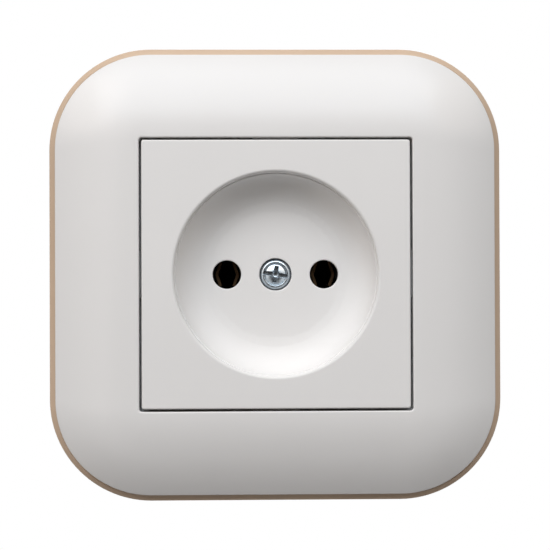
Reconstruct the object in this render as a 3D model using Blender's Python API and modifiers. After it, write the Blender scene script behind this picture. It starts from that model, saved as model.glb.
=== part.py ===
"""Two-pole flush wall socket: a square bezel in two colours, a dished cover plate and its mechanism.

The model is drawn in wall coordinates: X to the right, Y up, Z out of the wall and the wall's face at Z = 0.
One empty turns all of it upright, so that the finished socket looks along -Y with +Z up.
"""

import math

import bmesh
import bpy
from mathutils import Matrix, Vector

# Sizes are in metres. Faces that meet keep the seat gap, and a screw has the screw room round it.
SEAT_GAP = 0.0003
SCREW_ROOM = 0.0003

# Coloured base frame, which lies on the wall round the mounting plate and laps over its edge
BASE_FRAME_MARGIN = 0.0085
BASE_FRAME_OVERLAP = 0.0010
BASE_FRAME_RIM = 0.0013
BASE_FRAME_RIM_DROP = 0.0008
BASE_FRAME_TOP = 0.0030
BASE_FRAME_WEB = 0.0015
BASE_FRAME_WALL = 0.0020
BASE_FRAME_OPENING_CORNER = 0.0030

# White outer frame, a shell whose face is level at its square opening and falls off to its rim
FRAME_CORNER = 0.0185
FRAME_BOW = 0.0049
FRAME_BOW_POWER = 2.0
FRAME_RIM_THICKNESS = 0.00053
FRAME_WALL = 0.0020
FRAME_SKIRT_WALL = 0.0018
FRAME_OPENING_CORNER = 0.0006
FRAME_EDGE_ROUND = 0.0004
FRAME_LEDGE_WIDTH = 0.0017
FRAME_LEDGE_HEIGHT = 0.0015
FRAME_CORNER_STEPS = 8
FRAME_BOW_STEPS = 6
RIB_LENGTH = 0.0090
RIB_HEIGHT = 0.0002
RIB_TOP_DEPTH = 0.0007

# Snap clips that hold the outer frame on the base frame, two on each side
CLIP_SPACING = 0.0360
CLIP_WIDTH = 0.0050
CLIP_THICKNESS = 0.0012
CLIP_PLATE_GAP = 0.0010
CLIP_HOOK = 0.0008
CLIP_HOOK_HEIGHT = 0.0006
CLIP_ROOM = 0.0004

# Cover plate with the round recess for the plug
COVER_GAP = 0.0005
COVER_BORDER = 0.00554
COVER_CORNER = 0.0005
COVER_PROUD = 0.0002
COVER_EDGE_ROUND = 0.0004
COVER_PLATE = 0.0020
COVER_SKIRT_WALL = 0.0015
RECESS_RADIUS = 0.0195
RECESS_RIM_ROUND = 0.0006
RECESS_LIP_DEPTH = 0.0008
RECESS_LIP_DRAFT = 0.00005
RECESS_LIP_STEP = 0.0002
RECESS_WALL_ANGLE = math.radians(72)
RECESS_BEND = 0.0070
RECESS_FLOOR_HEIGHT = 0.0020
RECESS_SHELL = 0.0018
RECESS_STEPS = 48
RECESS_ARC_STEPS = 7

# Plug pins
PIN_SPACING = 0.0190
PIN_HOLE_RADIUS = 0.0027

# Pan-head screw in the middle of the cover
COVER_SCREW_HEAD_RADIUS = 0.0030
COVER_SCREW_HEAD_HEIGHT = 0.0019
COVER_SCREW_PROUD = 0.0004
COVER_SCREW_SHANK_RADIUS = 0.0015
COVER_SCREW_LENGTH = 0.0070
COVER_SCREW_TURN = math.radians(-9.5)
COVER_SCREW_SLOT_REACH = 0.0025
COVER_SCREW_CROSS_REACH = 0.00175
COVER_SCREW_SLOT_WIDTH = 0.00085
COVER_SCREW_SLOT_DEPTH = 0.0009
COVER_BOSS_WALL = 0.0013
COVER_BOSS_HEIGHT = 0.0020

# Steel mounting plate, sized by the spacing of the screws in the wall box
BOX_SCREW_SPACING = 0.0600
BOX_SLOT_WIDTH = 0.0044
BOX_SLOT_LENGTH = 0.0090
PLATE_EDGE = 0.0055
PLATE_CHAMFER = 0.0105
PLATE_THICKNESS = 0.0010
PLATE_OPENING_ROOM = 0.0006
EAR_THICKNESS = 0.0010
EAR_WIDTH = 0.0040
EAR_REACH = 0.0018
EAR_GAP = 0.0008
BEND_RELIEF = 0.0002

# Mechanism base, with a bay for each contact and its terminal
BASE_SIDE_WALL = 0.0039
BASE_TOP_WALL = 0.0034
BASE_CHAMFER = 0.0040
BASE_DEPTH = 0.0182
BASE_FRONT_WALL = 0.0025
BAY_ROOM = 0.0004

# Rear cover with its posts
REAR_COVER_THICKNESS = 0.0020
CONTACT_POST_WIDTH = 0.0040
CONTACT_POST_HEIGHT = 0.0012
WIRE_HOLE_RADIUS = 0.0016
WIRE_HOLE_SPACING = 0.0040

# Pin contacts of sheet brass, with leaves bent to a shallow V
LEAF_THICKNESS = 0.0006
LEAF_LENGTH = 0.0080
LEAF_APEX = 0.0021
LEAF_END = 0.0013
LEAF_HALF_HEIGHT = 0.0023
LEAF_SHOULDER = 0.0026
SHOULDER_BOTTOM = 0.0032
BRIDGE_HEIGHT = 0.0042
TONGUE_WIDTH = 0.0052
TONGUE_HEIGHT = 0.0090
TONGUE_REACH = 0.0086

# Steel clips that press the contact leaves together
CONTACT_SPRING_THICKNESS = 0.0005
CONTACT_SPRING_LENGTH = 0.0030
CONTACT_SPRING_INSET = 0.0025
CONTACT_SPRING_TOP = 0.0015
CONTACT_SPRING_BEND = 0.0008

# Terminal clamps and their screws
CLAMP_WALL = 0.0008
CLAMP_ROOF = 0.0020
CLAMP_TRAVEL = 0.0010
CLAMP_LENGTH = 0.0064
CLAMP_INSET = 0.0012
TERMINAL_SCREW_RADIUS = 0.0015
TERMINAL_SCREW_HEAD_RADIUS = 0.0025
TERMINAL_SCREW_HEAD_HEIGHT = 0.0018
TERMINAL_SCREW_LENGTH = 0.0062
TERMINAL_SCREW_RISE = 0.0010

# Square nut behind the cover plate
NUT_SIDE = 0.0055
NUT_THICKNESS = 0.0024
NUT_WALL = 0.0010

# Screws that join the mounting plate and the rear cover to the base
PLATE_SCREW_INSET = 0.0026
PLATE_SCREW_HEAD_RADIUS = 0.0020
PLATE_SCREW_HEAD_HEIGHT = 0.0009
PLATE_SCREW_SHANK_RADIUS = 0.0011
PLATE_SCREW_LENGTH = 0.0080
REAR_SCREW_INSET = 0.0080
REAR_SCREW_LENGTH = 0.0085

# Spreading claws that grip the wall box, and their screws
CLAW_PIVOT_DEPTH = 0.0050
CLAW_SCREW_OFFSET = 0.0032
CLAW_THICKNESS = 0.0012
CLAW_WIDTH = 0.0084
CLAW_FOOT = 0.0064
CLAW_ARM = 0.0130
CLAW_TIP_OUT = 0.0072
CLAW_TIP_BACK = 0.0025
CLAW_BEND = 0.0009
CLAW_TEETH = 4
CLAW_TOOTH_DEPTH = 0.0009
CLAW_SCREW_ROOM = 0.0005
TRUNNION_RADIUS = 0.0009
CLAW_SCREW_RADIUS = 0.0015
CLAW_SCREW_HEAD_RADIUS = 0.0026
CLAW_SCREW_HEAD_HEIGHT = 0.0015
CLAW_SCREW_LENGTH = 0.0105

# Small screws: how far the slot reaches and how deep it is, as shares of the head
SLOT_REACH_SHARE = 1.2
SLOT_DEPTH_SHARE = 0.45
SLOT_WIDTH = 0.0008
SCREW_TIP_CHAMFER = 0.0003

CIRCLE_STEPS = 24
SCREW_STEPS = 16
CUTTER_REACH = 0.0020

# Outer sides: the box screws set those of the plate and frames, the recess those of the cover and opening
PLATE_SIDE = BOX_SCREW_SPACING + 2 * PLATE_EDGE
BASE_FRAME_SIDE = PLATE_SIDE + 2 * BASE_FRAME_MARGIN
BASE_FRAME_OPENING_SIDE = PLATE_SIDE - 2 * BASE_FRAME_OVERLAP
BASE_FRAME_CORNER = FRAME_CORNER + BASE_FRAME_RIM
FRAME_SIDE = BASE_FRAME_SIDE - 2 * BASE_FRAME_RIM
COVER_SIDE = 2 * (RECESS_RADIUS + RECESS_RIM_ROUND + COVER_BORDER)
FRAME_OPENING_SIDE = COVER_SIDE + 2 * COVER_GAP
CLIP_INSIDE = PLATE_SIDE / 2 + CLIP_PLATE_GAP
CLIP_OUTSIDE = CLIP_INSIDE + CLIP_THICKNESS

# Levels that several pieces share, measured out of the wall
FRAME_SEAT = BASE_FRAME_TOP + SEAT_GAP
LEDGE_TOP = FRAME_SEAT + FRAME_LEDGE_HEIGHT
FRAME_CREST = FRAME_SEAT + FRAME_RIM_THICKNESS + FRAME_BOW
COVER_FACE = FRAME_CREST + COVER_PROUD
COVER_SKIRT_END = LEDGE_TOP + SEAT_GAP
FLOOR_UNDERSIDE = RECESS_FLOOR_HEIGHT - RECESS_SHELL
BOSS_END = FLOOR_UNDERSIDE - COVER_BOSS_HEIGHT
SCREW_SEAT = RECESS_FLOOR_HEIGHT + COVER_SCREW_PROUD - COVER_SCREW_HEAD_HEIGHT
BASE_FACE = -SEAT_GAP
BASE_BACK = BASE_FACE - BASE_DEPTH
BAY_FRONT = BASE_FACE - BASE_FRONT_WALL
REAR_COVER_FRONT = BASE_BACK - SEAT_GAP
REAR_COVER_BACK = REAR_COVER_FRONT - REAR_COVER_THICKNESS
NUT_TOP = BOSS_END - SEAT_GAP - NUT_WALL - SEAT_GAP
NUT_BOTTOM = NUT_TOP - NUT_THICKNESS
CONTACT_FRONT = BAY_FRONT - SEAT_GAP
LEAF_BACK = CONTACT_FRONT - LEAF_LENGTH
CLAMP_FRONT = CONTACT_FRONT - CLAMP_INSET
TERMINAL_SCREW_DEPTH = CLAMP_FRONT - CLAMP_LENGTH / 2

# Heights on the wall, measured from the middle of the socket
TONGUE_TOP = TONGUE_HEIGHT + LEAF_THICKNESS / 2
CLAMP_FLOOR = BRIDGE_HEIGHT + LEAF_THICKNESS / 2 + SEAT_GAP
CLAMP_TOP = TONGUE_TOP + CLAMP_TRAVEL + CLAMP_ROOF
WIRE_LEVEL = (CLAMP_FLOOR + CLAMP_WALL + TONGUE_HEIGHT - LEAF_THICKNESS / 2) / 2
TERMINAL_SCREW_SEAT = TONGUE_TOP + SEAT_GAP + TERMINAL_SCREW_LENGTH
SPRING_FOOT = LEAF_HALF_HEIGHT + LEAF_THICKNESS / 2 + SEAT_GAP + CONTACT_SPRING_THICKNESS
BAY_BOTTOM = -SPRING_FOOT - BAY_ROOM
BAY_TOP = TERMINAL_SCREW_SEAT + TERMINAL_SCREW_HEAD_HEIGHT + TERMINAL_SCREW_RISE

# The recess's wall runs straight down from its lip and bends to its flat floor. The plate's opening clears it
RECESS_LIP_RADIUS = RECESS_RADIUS - RECESS_LIP_DRAFT - RECESS_LIP_STEP
RECESS_LIP_FOOT = COVER_FACE - RECESS_RIM_ROUND - RECESS_LIP_DEPTH
BEND_RISE = RECESS_BEND * (1 - math.cos(RECESS_WALL_ANGLE))
STRAIGHT_RISE = RECESS_LIP_FOOT - RECESS_FLOOR_HEIGHT - BEND_RISE
BEND_TOP_RADIUS = RECESS_LIP_RADIUS - STRAIGHT_RISE / math.tan(RECESS_WALL_ANGLE)
RECESS_FLOOR_RADIUS = BEND_TOP_RADIUS - RECESS_BEND * math.sin(RECESS_WALL_ANGLE)
SHELL_DROP = RECESS_FLOOR_HEIGHT + RECESS_BEND - PLATE_THICKNESS
SHELL_AT_PLATE = RECESS_FLOOR_RADIUS + math.sqrt((RECESS_BEND + RECESS_SHELL) ** 2 - SHELL_DROP**2)
PLATE_OPENING_RADIUS = SHELL_AT_PLATE + PLATE_OPENING_ROOM
PLATE_SCREW_TOP = PLATE_THICKNESS + SEAT_GAP + PLATE_SCREW_HEAD_HEIGHT
SCREW_DROP = RECESS_FLOOR_HEIGHT + RECESS_BEND - PLATE_SCREW_TOP
SHELL_AT_SCREW = RECESS_FLOOR_RADIUS + math.sqrt((RECESS_BEND + RECESS_SHELL) ** 2 - SCREW_DROP**2)
COVER_BOSS_RADIUS = COVER_SCREW_HEAD_RADIUS + SCREW_ROOM + COVER_BOSS_WALL

# The base holds the bays, and its screws and the claws keep their places on it
PIN_X = PIN_SPACING / 2
BAY_WIDTH = TONGUE_WIDTH + 2 * (SEAT_GAP + CLAMP_WALL + BAY_ROOM)
BASE_WIDTH = PIN_SPACING + BAY_WIDTH + 2 * BASE_SIDE_WALL
SCREW_BESIDE_SHELL = SHELL_AT_SCREW + SEAT_GAP + PLATE_SCREW_HEAD_RADIUS + PLATE_SCREW_INSET
BASE_HEIGHT = 2 * max(BAY_TOP + BASE_TOP_WALL, SCREW_BESIDE_SHELL)
PLATE_SCREW_SPACING = BASE_HEIGHT - 2 * PLATE_SCREW_INSET
REAR_SCREW_SPACING = BASE_HEIGHT - 2 * REAR_SCREW_INSET
CLAW_PIVOT_X = BASE_WIDTH / 2 + EAR_GAP + EAR_WIDTH / 2
CLAW_SCREW_X = CLAW_PIVOT_X + CLAW_SCREW_OFFSET
EAR_MIDDLE = CLAW_WIDTH / 2 + SEAT_GAP + EAR_THICKNESS / 2
SIDES = (("left", -1), ("right", 1))
ENDS = (("lower", -1), ("upper", 1))


def clear_scene():
    for obj in list(bpy.data.objects):
        bpy.data.objects.remove(obj, do_unlink=True)


def new_collection(name):
    collection = bpy.data.collections.new(name)
    bpy.context.scene.collection.children.link(collection)
    return collection


clear_scene()
PARTS = new_collection("wall_socket")
CUTTERS = new_collection("cutters")
UPRIGHT = bpy.data.objects.new("wall_coordinates", None)
UPRIGHT.rotation_euler = (math.radians(90), 0, 0)
PARTS.objects.link(UPRIGHT)


def plain_material(name, colour, roughness, metallic=0.0):
    made = bpy.data.materials.new(name)
    made.use_nodes = True
    shader = made.node_tree.nodes["Principled BSDF"]
    shader.inputs["Base Color"].default_value = (*colour, 1.0)
    shader.inputs["Roughness"].default_value = roughness
    shader.inputs["Metallic"].default_value = metallic
    return made


WHITE_GLOSS = plain_material("white_gloss_plastic", (0.80, 0.79, 0.78), 0.22)
WHITE_SATIN = plain_material("white_satin_plastic", (0.80, 0.79, 0.78), 0.38)
TAN_PLASTIC = plain_material("tan_plastic", (0.56, 0.42, 0.31), 0.45)
DARK_PLASTIC = plain_material("dark_plastic", (0.03, 0.03, 0.032), 0.50)
ZINC_STEEL = plain_material("zinc_plated_steel", (0.62, 0.66, 0.70), 0.32, 1.0)
BRASS = plain_material("brass", (0.78, 0.57, 0.28), 0.30, 1.0)
SPRING_STEEL = plain_material("spring_steel", (0.45, 0.46, 0.48), 0.35, 1.0)


def place(obj, finish, location, turn, is_cutter):
    """Puts an object in its collection, under the empty that turns wall coordinates upright."""
    (CUTTERS if is_cutter else PARTS).objects.link(obj)
    obj.parent = UPRIGHT
    obj.location = location
    obj.rotation_euler = turn
    if finish:
        obj.data.materials.append(finish)
    if is_cutter:
        obj.hide_render = True
        obj.display_type = "WIRE"
    return obj


def object_from(name, bm, finish=None, location=(0, 0, 0), turn=(0, 0, 0), is_cutter=False):
    mesh = bpy.data.meshes.new(name)
    bmesh.ops.recalc_face_normals(bm, faces=bm.faces)
    bm.to_mesh(mesh)
    bm.free()
    return place(bpy.data.objects.new(name, mesh), finish, location, turn, is_cutter)


def add_box(bm, low, high):
    """Adds a box between two corners."""
    low, high = Vector(low), Vector(high)
    scale = Matrix.Diagonal((*(high - low), 1.0))
    bmesh.ops.create_cube(bm, size=1.0, matrix=Matrix.Translation((low + high) / 2) @ scale)


def add_cylinder(bm, centre, radius, low, high, axis="Z"):
    """Adds a cylinder along Y or Z, from low to high on it. centre is given on the other two axes."""
    middle = (low + high) / 2
    if axis == "Y":
        spot, spin = (centre[0], middle, centre[1]), Matrix.Rotation(math.radians(-90), 4, "X")
    else:
        spot, spin = (centre[0], centre[1], middle), Matrix.Identity(4)
    bmesh.ops.create_cone(
        bm,
        cap_ends=True,
        segments=CIRCLE_STEPS,
        radius1=radius,
        radius2=radius,
        depth=high - low,
        matrix=Matrix.Translation(spot) @ spin,
    )


def boolean(target, tool, operation):
    modifier = target.modifiers.new(f"{operation.lower()}_{tool.name}", "BOOLEAN")
    modifier.operation = operation
    modifier.solver = "EXACT"
    modifier.object = tool


def cut(target, name, build):
    """Cuts from target the separate shapes that build adds to a mesh."""
    bm = bmesh.new()
    build(bm)
    boolean(target, object_from(name, bm, is_cutter=True), "DIFFERENCE")


def join(target, name, build):
    """Joins to target the separate shapes that build adds to a mesh."""
    bm = bmesh.new()
    build(bm)
    boolean(target, object_from(name, bm, is_cutter=True), "UNION")


def slot_points(width, length, centre, turn, steps=8):
    """A slot with round ends, its long way along X before it is turned."""
    reach = (length - width) / 2
    spin = Matrix.Rotation(turn, 2)
    points = []
    for end, start in ((1, -math.pi / 2), (-1, math.pi / 2)):
        for i in range(steps + 1):
            angle = start + math.pi * i / steps
            point = Vector((end * reach + width / 2 * math.cos(angle), width / 2 * math.sin(angle)))
            points.append(tuple(spin @ point + Vector(centre)))
    return points


def circle_points(radius, steps=CIRCLE_STEPS):
    angles = [2 * math.pi * i / steps for i in range(steps)]
    return [(radius * math.cos(angle), radius * math.sin(angle)) for angle in angles]


def box_points(low, high):
    return [(low[0], low[1]), (high[0], low[1]), (high[0], high[1]), (low[0], high[1])]


def clipped_rectangle(width, height, chamfer):
    """A rectangle with its corners cut off."""
    x, y = width / 2, height / 2
    points = []
    for right, up in ((1, -1), (1, 1), (-1, 1), (-1, -1)):
        first, second = (right * x, up * (y - chamfer)), (right * (x - chamfer), up * y)
        points += [first, second] if right == up else [second, first]
    return points


def rounded_square(half, radius, steps):
    """Points round a square with round corners, anticlockwise."""
    points = []
    for corner in range(4):
        start = corner * math.pi / 2
        middle = Matrix.Rotation(start, 2) @ Vector((half - radius, half - radius))
        for i in range(steps + 1):
            angle = start + math.pi / 2 * i / steps
            points.append((middle.x + radius * math.cos(angle), middle.y + radius * math.sin(angle)))
    return points


def arc(centre, radius, start, end, steps):
    """Points of an arc in a section, from one angle to another."""
    angles = [start + (end - start) * i / steps for i in range(steps + 1)]
    return [(centre[0] + radius * math.cos(a), centre[1] + radius * math.sin(a)) for a in angles]


def rounded_path(points, radius, steps=4):
    """A path whose inner corners are arcs of the given radius."""
    path = [Vector(points[0])]
    for before, corner, after in zip(points, points[1:], points[2:]):
        corner = Vector(corner)
        to_before = (Vector(before) - corner).normalized()
        to_after = (Vector(after) - corner).normalized()
        half_angle = to_before.angle(to_after) / 2
        start = corner + to_before * (radius / math.tan(half_angle))
        centre = corner + (to_before + to_after).normalized() * (radius / math.sin(half_angle))
        sweep = math.pi - 2 * half_angle
        if to_before.x * to_after.y - to_before.y * to_after.x > 0:
            sweep = -sweep
        ray = start - centre
        path += [centre + Matrix.Rotation(sweep * i / steps, 2) @ ray for i in range(steps + 1)]
    return path + [Vector(points[-1])]


def strip_outline(path, thickness):
    """The outline of a strip of sheet metal seen on edge, with the path along its middle."""
    path = [Vector(point) for point in path]
    sides = []
    for i in range(len(path)):
        runs = [(path[j], path[j + 1]) for j in (i - 1, i) if 0 <= j < len(path) - 1]
        normals = [Vector((a.y - b.y, b.x - a.x)).normalized() for a, b in runs]
        mean = sum(normals, Vector((0, 0))).normalized()
        sides.append(mean * (thickness / 2 / mean.dot(normals[0])))
    left = [tuple(point + side) for point, side in zip(path, sides)]
    right = [tuple(point - side) for point, side in zip(path, sides)]
    return left + right[::-1]


def extruded(name, loops, low, high, finish=None, location=(0, 0, 0), turn=(0, 0, 0), is_cutter=False):
    """A flat outline, with any holes, extruded from low to high along its own Z and made a mesh."""
    curve = bpy.data.curves.new(name, "CURVE")
    curve.dimensions = "2D"
    curve.fill_mode = "BOTH"
    curve.extrude = (high - low) / 2
    for loop in loops:
        spline = curve.splines.new("POLY")
        spline.points.add(len(loop) - 1)
        for point, (x, y) in zip(spline.points, loop):
            point.co = (x, y, 0, 1)
        spline.use_cyclic_u = True
    drawn = bpy.data.objects.new(name, curve)
    PARTS.objects.link(drawn)
    bpy.context.view_layer.update()
    mesh = bpy.data.meshes.new_from_object(drawn.evaluated_get(bpy.context.evaluated_depsgraph_get()))
    bpy.data.objects.remove(drawn)
    bm = bmesh.new()
    bm.from_mesh(mesh)
    bpy.data.meshes.remove(mesh)
    bmesh.ops.remove_doubles(bm, verts=bm.verts, dist=1e-6)
    bmesh.ops.translate(bm, verts=bm.verts, vec=(0, 0, (low + high) / 2))
    return object_from(name, bm, finish, location, turn, is_cutter)


def turned(name, profile, steps, finish=None, location=(0, 0, 0), turn=(0, 0, 0), is_cutter=False):
    """A turned shape: its profile of (radius, height) points runs down the outside."""
    mesh = bpy.data.meshes.new(name)
    mesh.from_pydata([(r, 0, z) for r, z in profile], [(i, i + 1) for i in range(len(profile) - 1)], [])
    obj = place(bpy.data.objects.new(name, mesh), finish, location, turn, is_cutter)
    modifier = obj.modifiers.new("turn", "SCREW")
    modifier.axis = "Z"
    modifier.steps = modifier.render_steps = steps
    modifier.use_merge_vertices = True
    modifier.merge_threshold = 1e-6
    return obj


# Turns of an outline: seen from above (X, Z), and seen from the left side (depth behind the wall, Y)
FROM_ABOVE = (math.radians(90), 0, 0)
FROM_SIDE = (0, math.radians(90), 0)


def framed_loft(name, section, corner_radius, finish=None, is_cutter=False):
    """A closed frame: each (half side, height) point of the section becomes a round-cornered square."""
    bm = bmesh.new()
    rings = []
    for half, height in section:
        points = rounded_square(half, corner_radius(half), FRAME_CORNER_STEPS)
        rings.append([bm.verts.new((x, y, height)) for x, y in points])
    for near, far in zip(rings, rings[1:] + rings[:1]):
        for i in range(len(near)):
            j = (i + 1) % len(near)
            bm.faces.new((near[i], near[j], far[j], far[i]))
    return object_from(name, bm, finish, is_cutter=is_cutter)


def screw_profile(head_radius, head_height, shank_radius, length):
    """A pan-head screw whose seat, the underside of its head, is at height 0."""
    crown = [(0, head_height)]
    crown += arc((head_radius * 0.45, head_height * 0.45), head_height * 0.55, math.pi / 2, math.pi / 4, 2)
    return crown + [
        (head_radius, head_height * 0.4),
        (head_radius, 0),
        (shank_radius, 0),
        (shank_radius, SCREW_TIP_CHAMFER - length),
        (shank_radius - SCREW_TIP_CHAMFER, -length),
        (0, -length),
    ]


def slotted_screw(name, head, shank_radius, length, location, turn, slot_turn=0.0):
    """A small screw of steel with a straight slot. head is its radius and height."""
    head_radius, head_height = head
    profile = screw_profile(head_radius, head_height, shank_radius, length)
    screw = turned(name, profile, SCREW_STEPS, ZINC_STEEL, location, turn)
    reach = head_radius * SLOT_REACH_SHARE
    bm = bmesh.new()
    add_box(
        bm,
        (-reach, -SLOT_WIDTH / 2, head_height * (1 - SLOT_DEPTH_SHARE)),
        (reach, SLOT_WIDTH / 2, head_height + CUTTER_REACH),
    )
    bmesh.ops.rotate(bm, verts=bm.verts, matrix=Matrix.Rotation(slot_turn, 3, "Z"))
    boolean(screw, object_from(f"{name}_slot", bm, None, location, turn, True), "DIFFERENCE")
    return screw


def frame_height(half):
    """Height of the outer frame's bowed face at a distance from the middle of the socket."""
    inner, outer = FRAME_OPENING_SIDE / 2, FRAME_SIDE / 2
    share = (half - inner) / (outer - inner)
    return FRAME_CREST - FRAME_BOW * max(0.0, share) ** FRAME_BOW_POWER


def frame_corner(half):
    """Corner radius of the outer frame, growing from the opening to the rim."""
    inner, outer = FRAME_OPENING_SIDE / 2, FRAME_SIDE / 2
    share = max(0.0, (half - inner) / (outer - inner))
    return FRAME_OPENING_CORNER + (FRAME_CORNER - FRAME_OPENING_CORNER) * share


def build_outer_frame():
    inner, outer = FRAME_OPENING_SIDE / 2, FRAME_SIDE / 2
    ledge = inner - FRAME_LEDGE_WIDTH
    skirt = inner + FRAME_SKIRT_WALL
    fold = inner + FRAME_EDGE_ROUND
    rim_inside = outer - FRAME_WALL
    while frame_height(rim_inside) - FRAME_WALL < FRAME_SEAT:
        rim_inside -= FRAME_WALL / 10
    edge_middle = (fold, frame_height(fold) - FRAME_EDGE_ROUND)
    section = arc(edge_middle, FRAME_EDGE_ROUND, math.pi, math.pi / 2, 3)
    for i in range(1, FRAME_BOW_STEPS + 1):
        half = fold + (outer - fold) * i / FRAME_BOW_STEPS
        section.append((half, frame_height(half)))
    section += [(outer, FRAME_SEAT), (rim_inside, FRAME_SEAT)]
    for i in range(1, FRAME_BOW_STEPS + 1):
        half = rim_inside + (skirt - rim_inside) * i / FRAME_BOW_STEPS
        section.append((half, frame_height(half) - FRAME_WALL))
    section += [(skirt, FRAME_SEAT), (ledge, FRAME_SEAT), (ledge, LEDGE_TOP), (inner, LEDGE_TOP)]
    frame = framed_loft("outer_frame", section, frame_corner, WHITE_GLOSS)

    hook_top = BASE_FRAME_TOP - BASE_FRAME_WEB - SEAT_GAP
    hook_foot = hook_top - CLIP_HOOK_HEIGHT
    clip = [
        (CLIP_INSIDE, hook_foot),
        (CLIP_OUTSIDE, hook_foot),
        (CLIP_OUTSIDE + CLIP_HOOK, hook_top),
        (CLIP_OUTSIDE, hook_top),
        (CLIP_OUTSIDE, frame_height(CLIP_OUTSIDE) - FRAME_WALL / 2),
        (CLIP_INSIDE, frame_height(CLIP_INSIDE) - FRAME_WALL / 2),
    ]
    rib = box_points(
        (inner - RIB_HEIGHT, LEDGE_TOP - FRAME_LEDGE_HEIGHT / 2),
        (inner + FRAME_SKIRT_WALL / 2, FRAME_CREST - RIB_TOP_DEPTH),
    )
    for quarter in range(4):
        spin = quarter * math.pi / 2
        bars = [("rib", rib, RIB_LENGTH, 0), ("clip_a", clip, CLIP_WIDTH, CLIP_SPACING / 2)]
        bars.append(("clip_b", clip, CLIP_WIDTH, -CLIP_SPACING / 2))
        for name, outline, width, offset in bars:
            spot = Matrix.Rotation(spin, 3, "Z") @ Vector((0, offset, 0))
            turn = (math.pi / 2, 0, spin)
            bar_name = f"frame_{name}_{quarter}"
            bar = extruded(bar_name, [outline], -width / 2, width / 2, None, spot, turn, True)
            boolean(frame, bar, "UNION")


def build_base_frame():
    outer, inner = BASE_FRAME_SIDE / 2, BASE_FRAME_OPENING_SIDE / 2
    white_edge = FRAME_SIDE / 2
    web_bottom = BASE_FRAME_TOP - BASE_FRAME_WEB
    skirt_inside = outer - BASE_FRAME_WALL
    section = [
        (outer, 0),
        (outer, BASE_FRAME_TOP - BASE_FRAME_RIM_DROP),
        (white_edge, BASE_FRAME_TOP),
        (inner, BASE_FRAME_TOP),
        (inner, web_bottom),
        (skirt_inside, web_bottom),
        (skirt_inside, 0),
    ]

    def corner_radius(half):
        share = (half - inner) / (outer - inner)
        return BASE_FRAME_OPENING_CORNER + (BASE_FRAME_CORNER - BASE_FRAME_OPENING_CORNER) * share

    frame = framed_loft("base_frame", section, corner_radius, TAN_PLASTIC)

    def clip_windows(bm):
        near, far = CLIP_INSIDE - CLIP_ROOM, CLIP_OUTSIDE + CLIP_ROOM
        half_width = CLIP_WIDTH / 2 + CLIP_ROOM
        for end in (-1, 1):
            for side in (-1, 1):
                along = (end * CLIP_SPACING / 2 - half_width, end * CLIP_SPACING / 2 + half_width)
                across = sorted((side * near, side * far))
                bottom, top = web_bottom - CUTTER_REACH, BASE_FRAME_TOP + CUTTER_REACH
                add_box(bm, (across[0], along[0], bottom), (across[1], along[1], top))
                add_box(bm, (along[0], across[0], bottom), (along[1], across[1], top))

    cut(frame, "base_frame_clip_windows", clip_windows)


def recess_wall(offset):
    """The recess's wall from the lip down to the floor, at a distance from its inner face."""
    top = (RECESS_LIP_RADIUS + offset / math.sin(RECESS_WALL_ANGLE), RECESS_LIP_FOOT)
    centre = (RECESS_FLOOR_RADIUS, RECESS_FLOOR_HEIGHT + RECESS_BEND)
    end = -math.pi / 2
    return [top, *arc(centre, RECESS_BEND + offset, end + RECESS_WALL_ANGLE, end, RECESS_ARC_STEPS)]


def build_socket_cover():
    outer, inside = COVER_SIDE / 2, COVER_SIDE / 2 - COVER_SKIRT_WALL
    underside = COVER_FACE - COVER_PLATE
    outline = rounded_square(outer, COVER_CORNER, 3)
    cover = extruded("socket_cover", [outline], COVER_SKIRT_END, COVER_FACE, WHITE_SATIN)
    bevel = cover.modifiers.new("round_edges", "BEVEL")
    bevel.width = COVER_EDGE_ROUND
    bevel.segments = 3
    bevel.limit_method = "ANGLE"
    bevel.angle_limit = math.radians(60)

    def hollow(bm):
        add_box(bm, (-inside, -inside, COVER_SKIRT_END - CUTTER_REACH), (inside, inside, underside))

    cut(cover, "cover_hollow", hollow)
    shell = recess_wall(RECESS_SHELL)
    middle_of_plate = COVER_FACE - COVER_PLATE / 2
    bowl = [(0, middle_of_plate), (shell[0][0], middle_of_plate), *shell]
    bowl += [(COVER_BOSS_RADIUS, FLOOR_UNDERSIDE), (COVER_BOSS_RADIUS, BOSS_END), (0, BOSS_END)]
    boolean(cover, turned("cover_bowl", bowl, RECESS_STEPS, is_cutter=True), "UNION")

    rim = (RECESS_RADIUS + RECESS_RIM_ROUND, COVER_FACE - RECESS_RIM_ROUND)
    recess = [(0, COVER_FACE + CUTTER_REACH), (rim[0], COVER_FACE + CUTTER_REACH)]
    recess += arc(rim, RECESS_RIM_ROUND, math.pi / 2, math.pi, 3)
    recess += [(RECESS_RADIUS - RECESS_LIP_DRAFT, RECESS_LIP_FOOT), *recess_wall(0)]
    recess += [(0, RECESS_FLOOR_HEIGHT)]
    boolean(cover, turned("cover_recess", recess, RECESS_STEPS, is_cutter=True), "DIFFERENCE")

    def holes(bm):
        bottom, top = BOSS_END - CUTTER_REACH, RECESS_FLOOR_HEIGHT + CUTTER_REACH
        for _, side in SIDES:
            add_cylinder(bm, (side * PIN_X, 0), PIN_HOLE_RADIUS, bottom, top)

    cut(cover, "cover_pin_holes", holes)
    head_room = COVER_SCREW_HEAD_RADIUS + SCREW_ROOM
    shank_room = COVER_SCREW_SHANK_RADIUS + SCREW_ROOM
    screw_hole = [
        (0, RECESS_FLOOR_HEIGHT + CUTTER_REACH),
        (head_room, RECESS_FLOOR_HEIGHT + CUTTER_REACH),
        (head_room, SCREW_SEAT - SEAT_GAP),
        (shank_room, SCREW_SEAT - SEAT_GAP),
        (shank_room, BOSS_END - CUTTER_REACH),
        (0, BOSS_END - CUTTER_REACH),
    ]
    boolean(cover, turned("cover_screw_hole", screw_hole, SCREW_STEPS, is_cutter=True), "DIFFERENCE")


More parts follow.
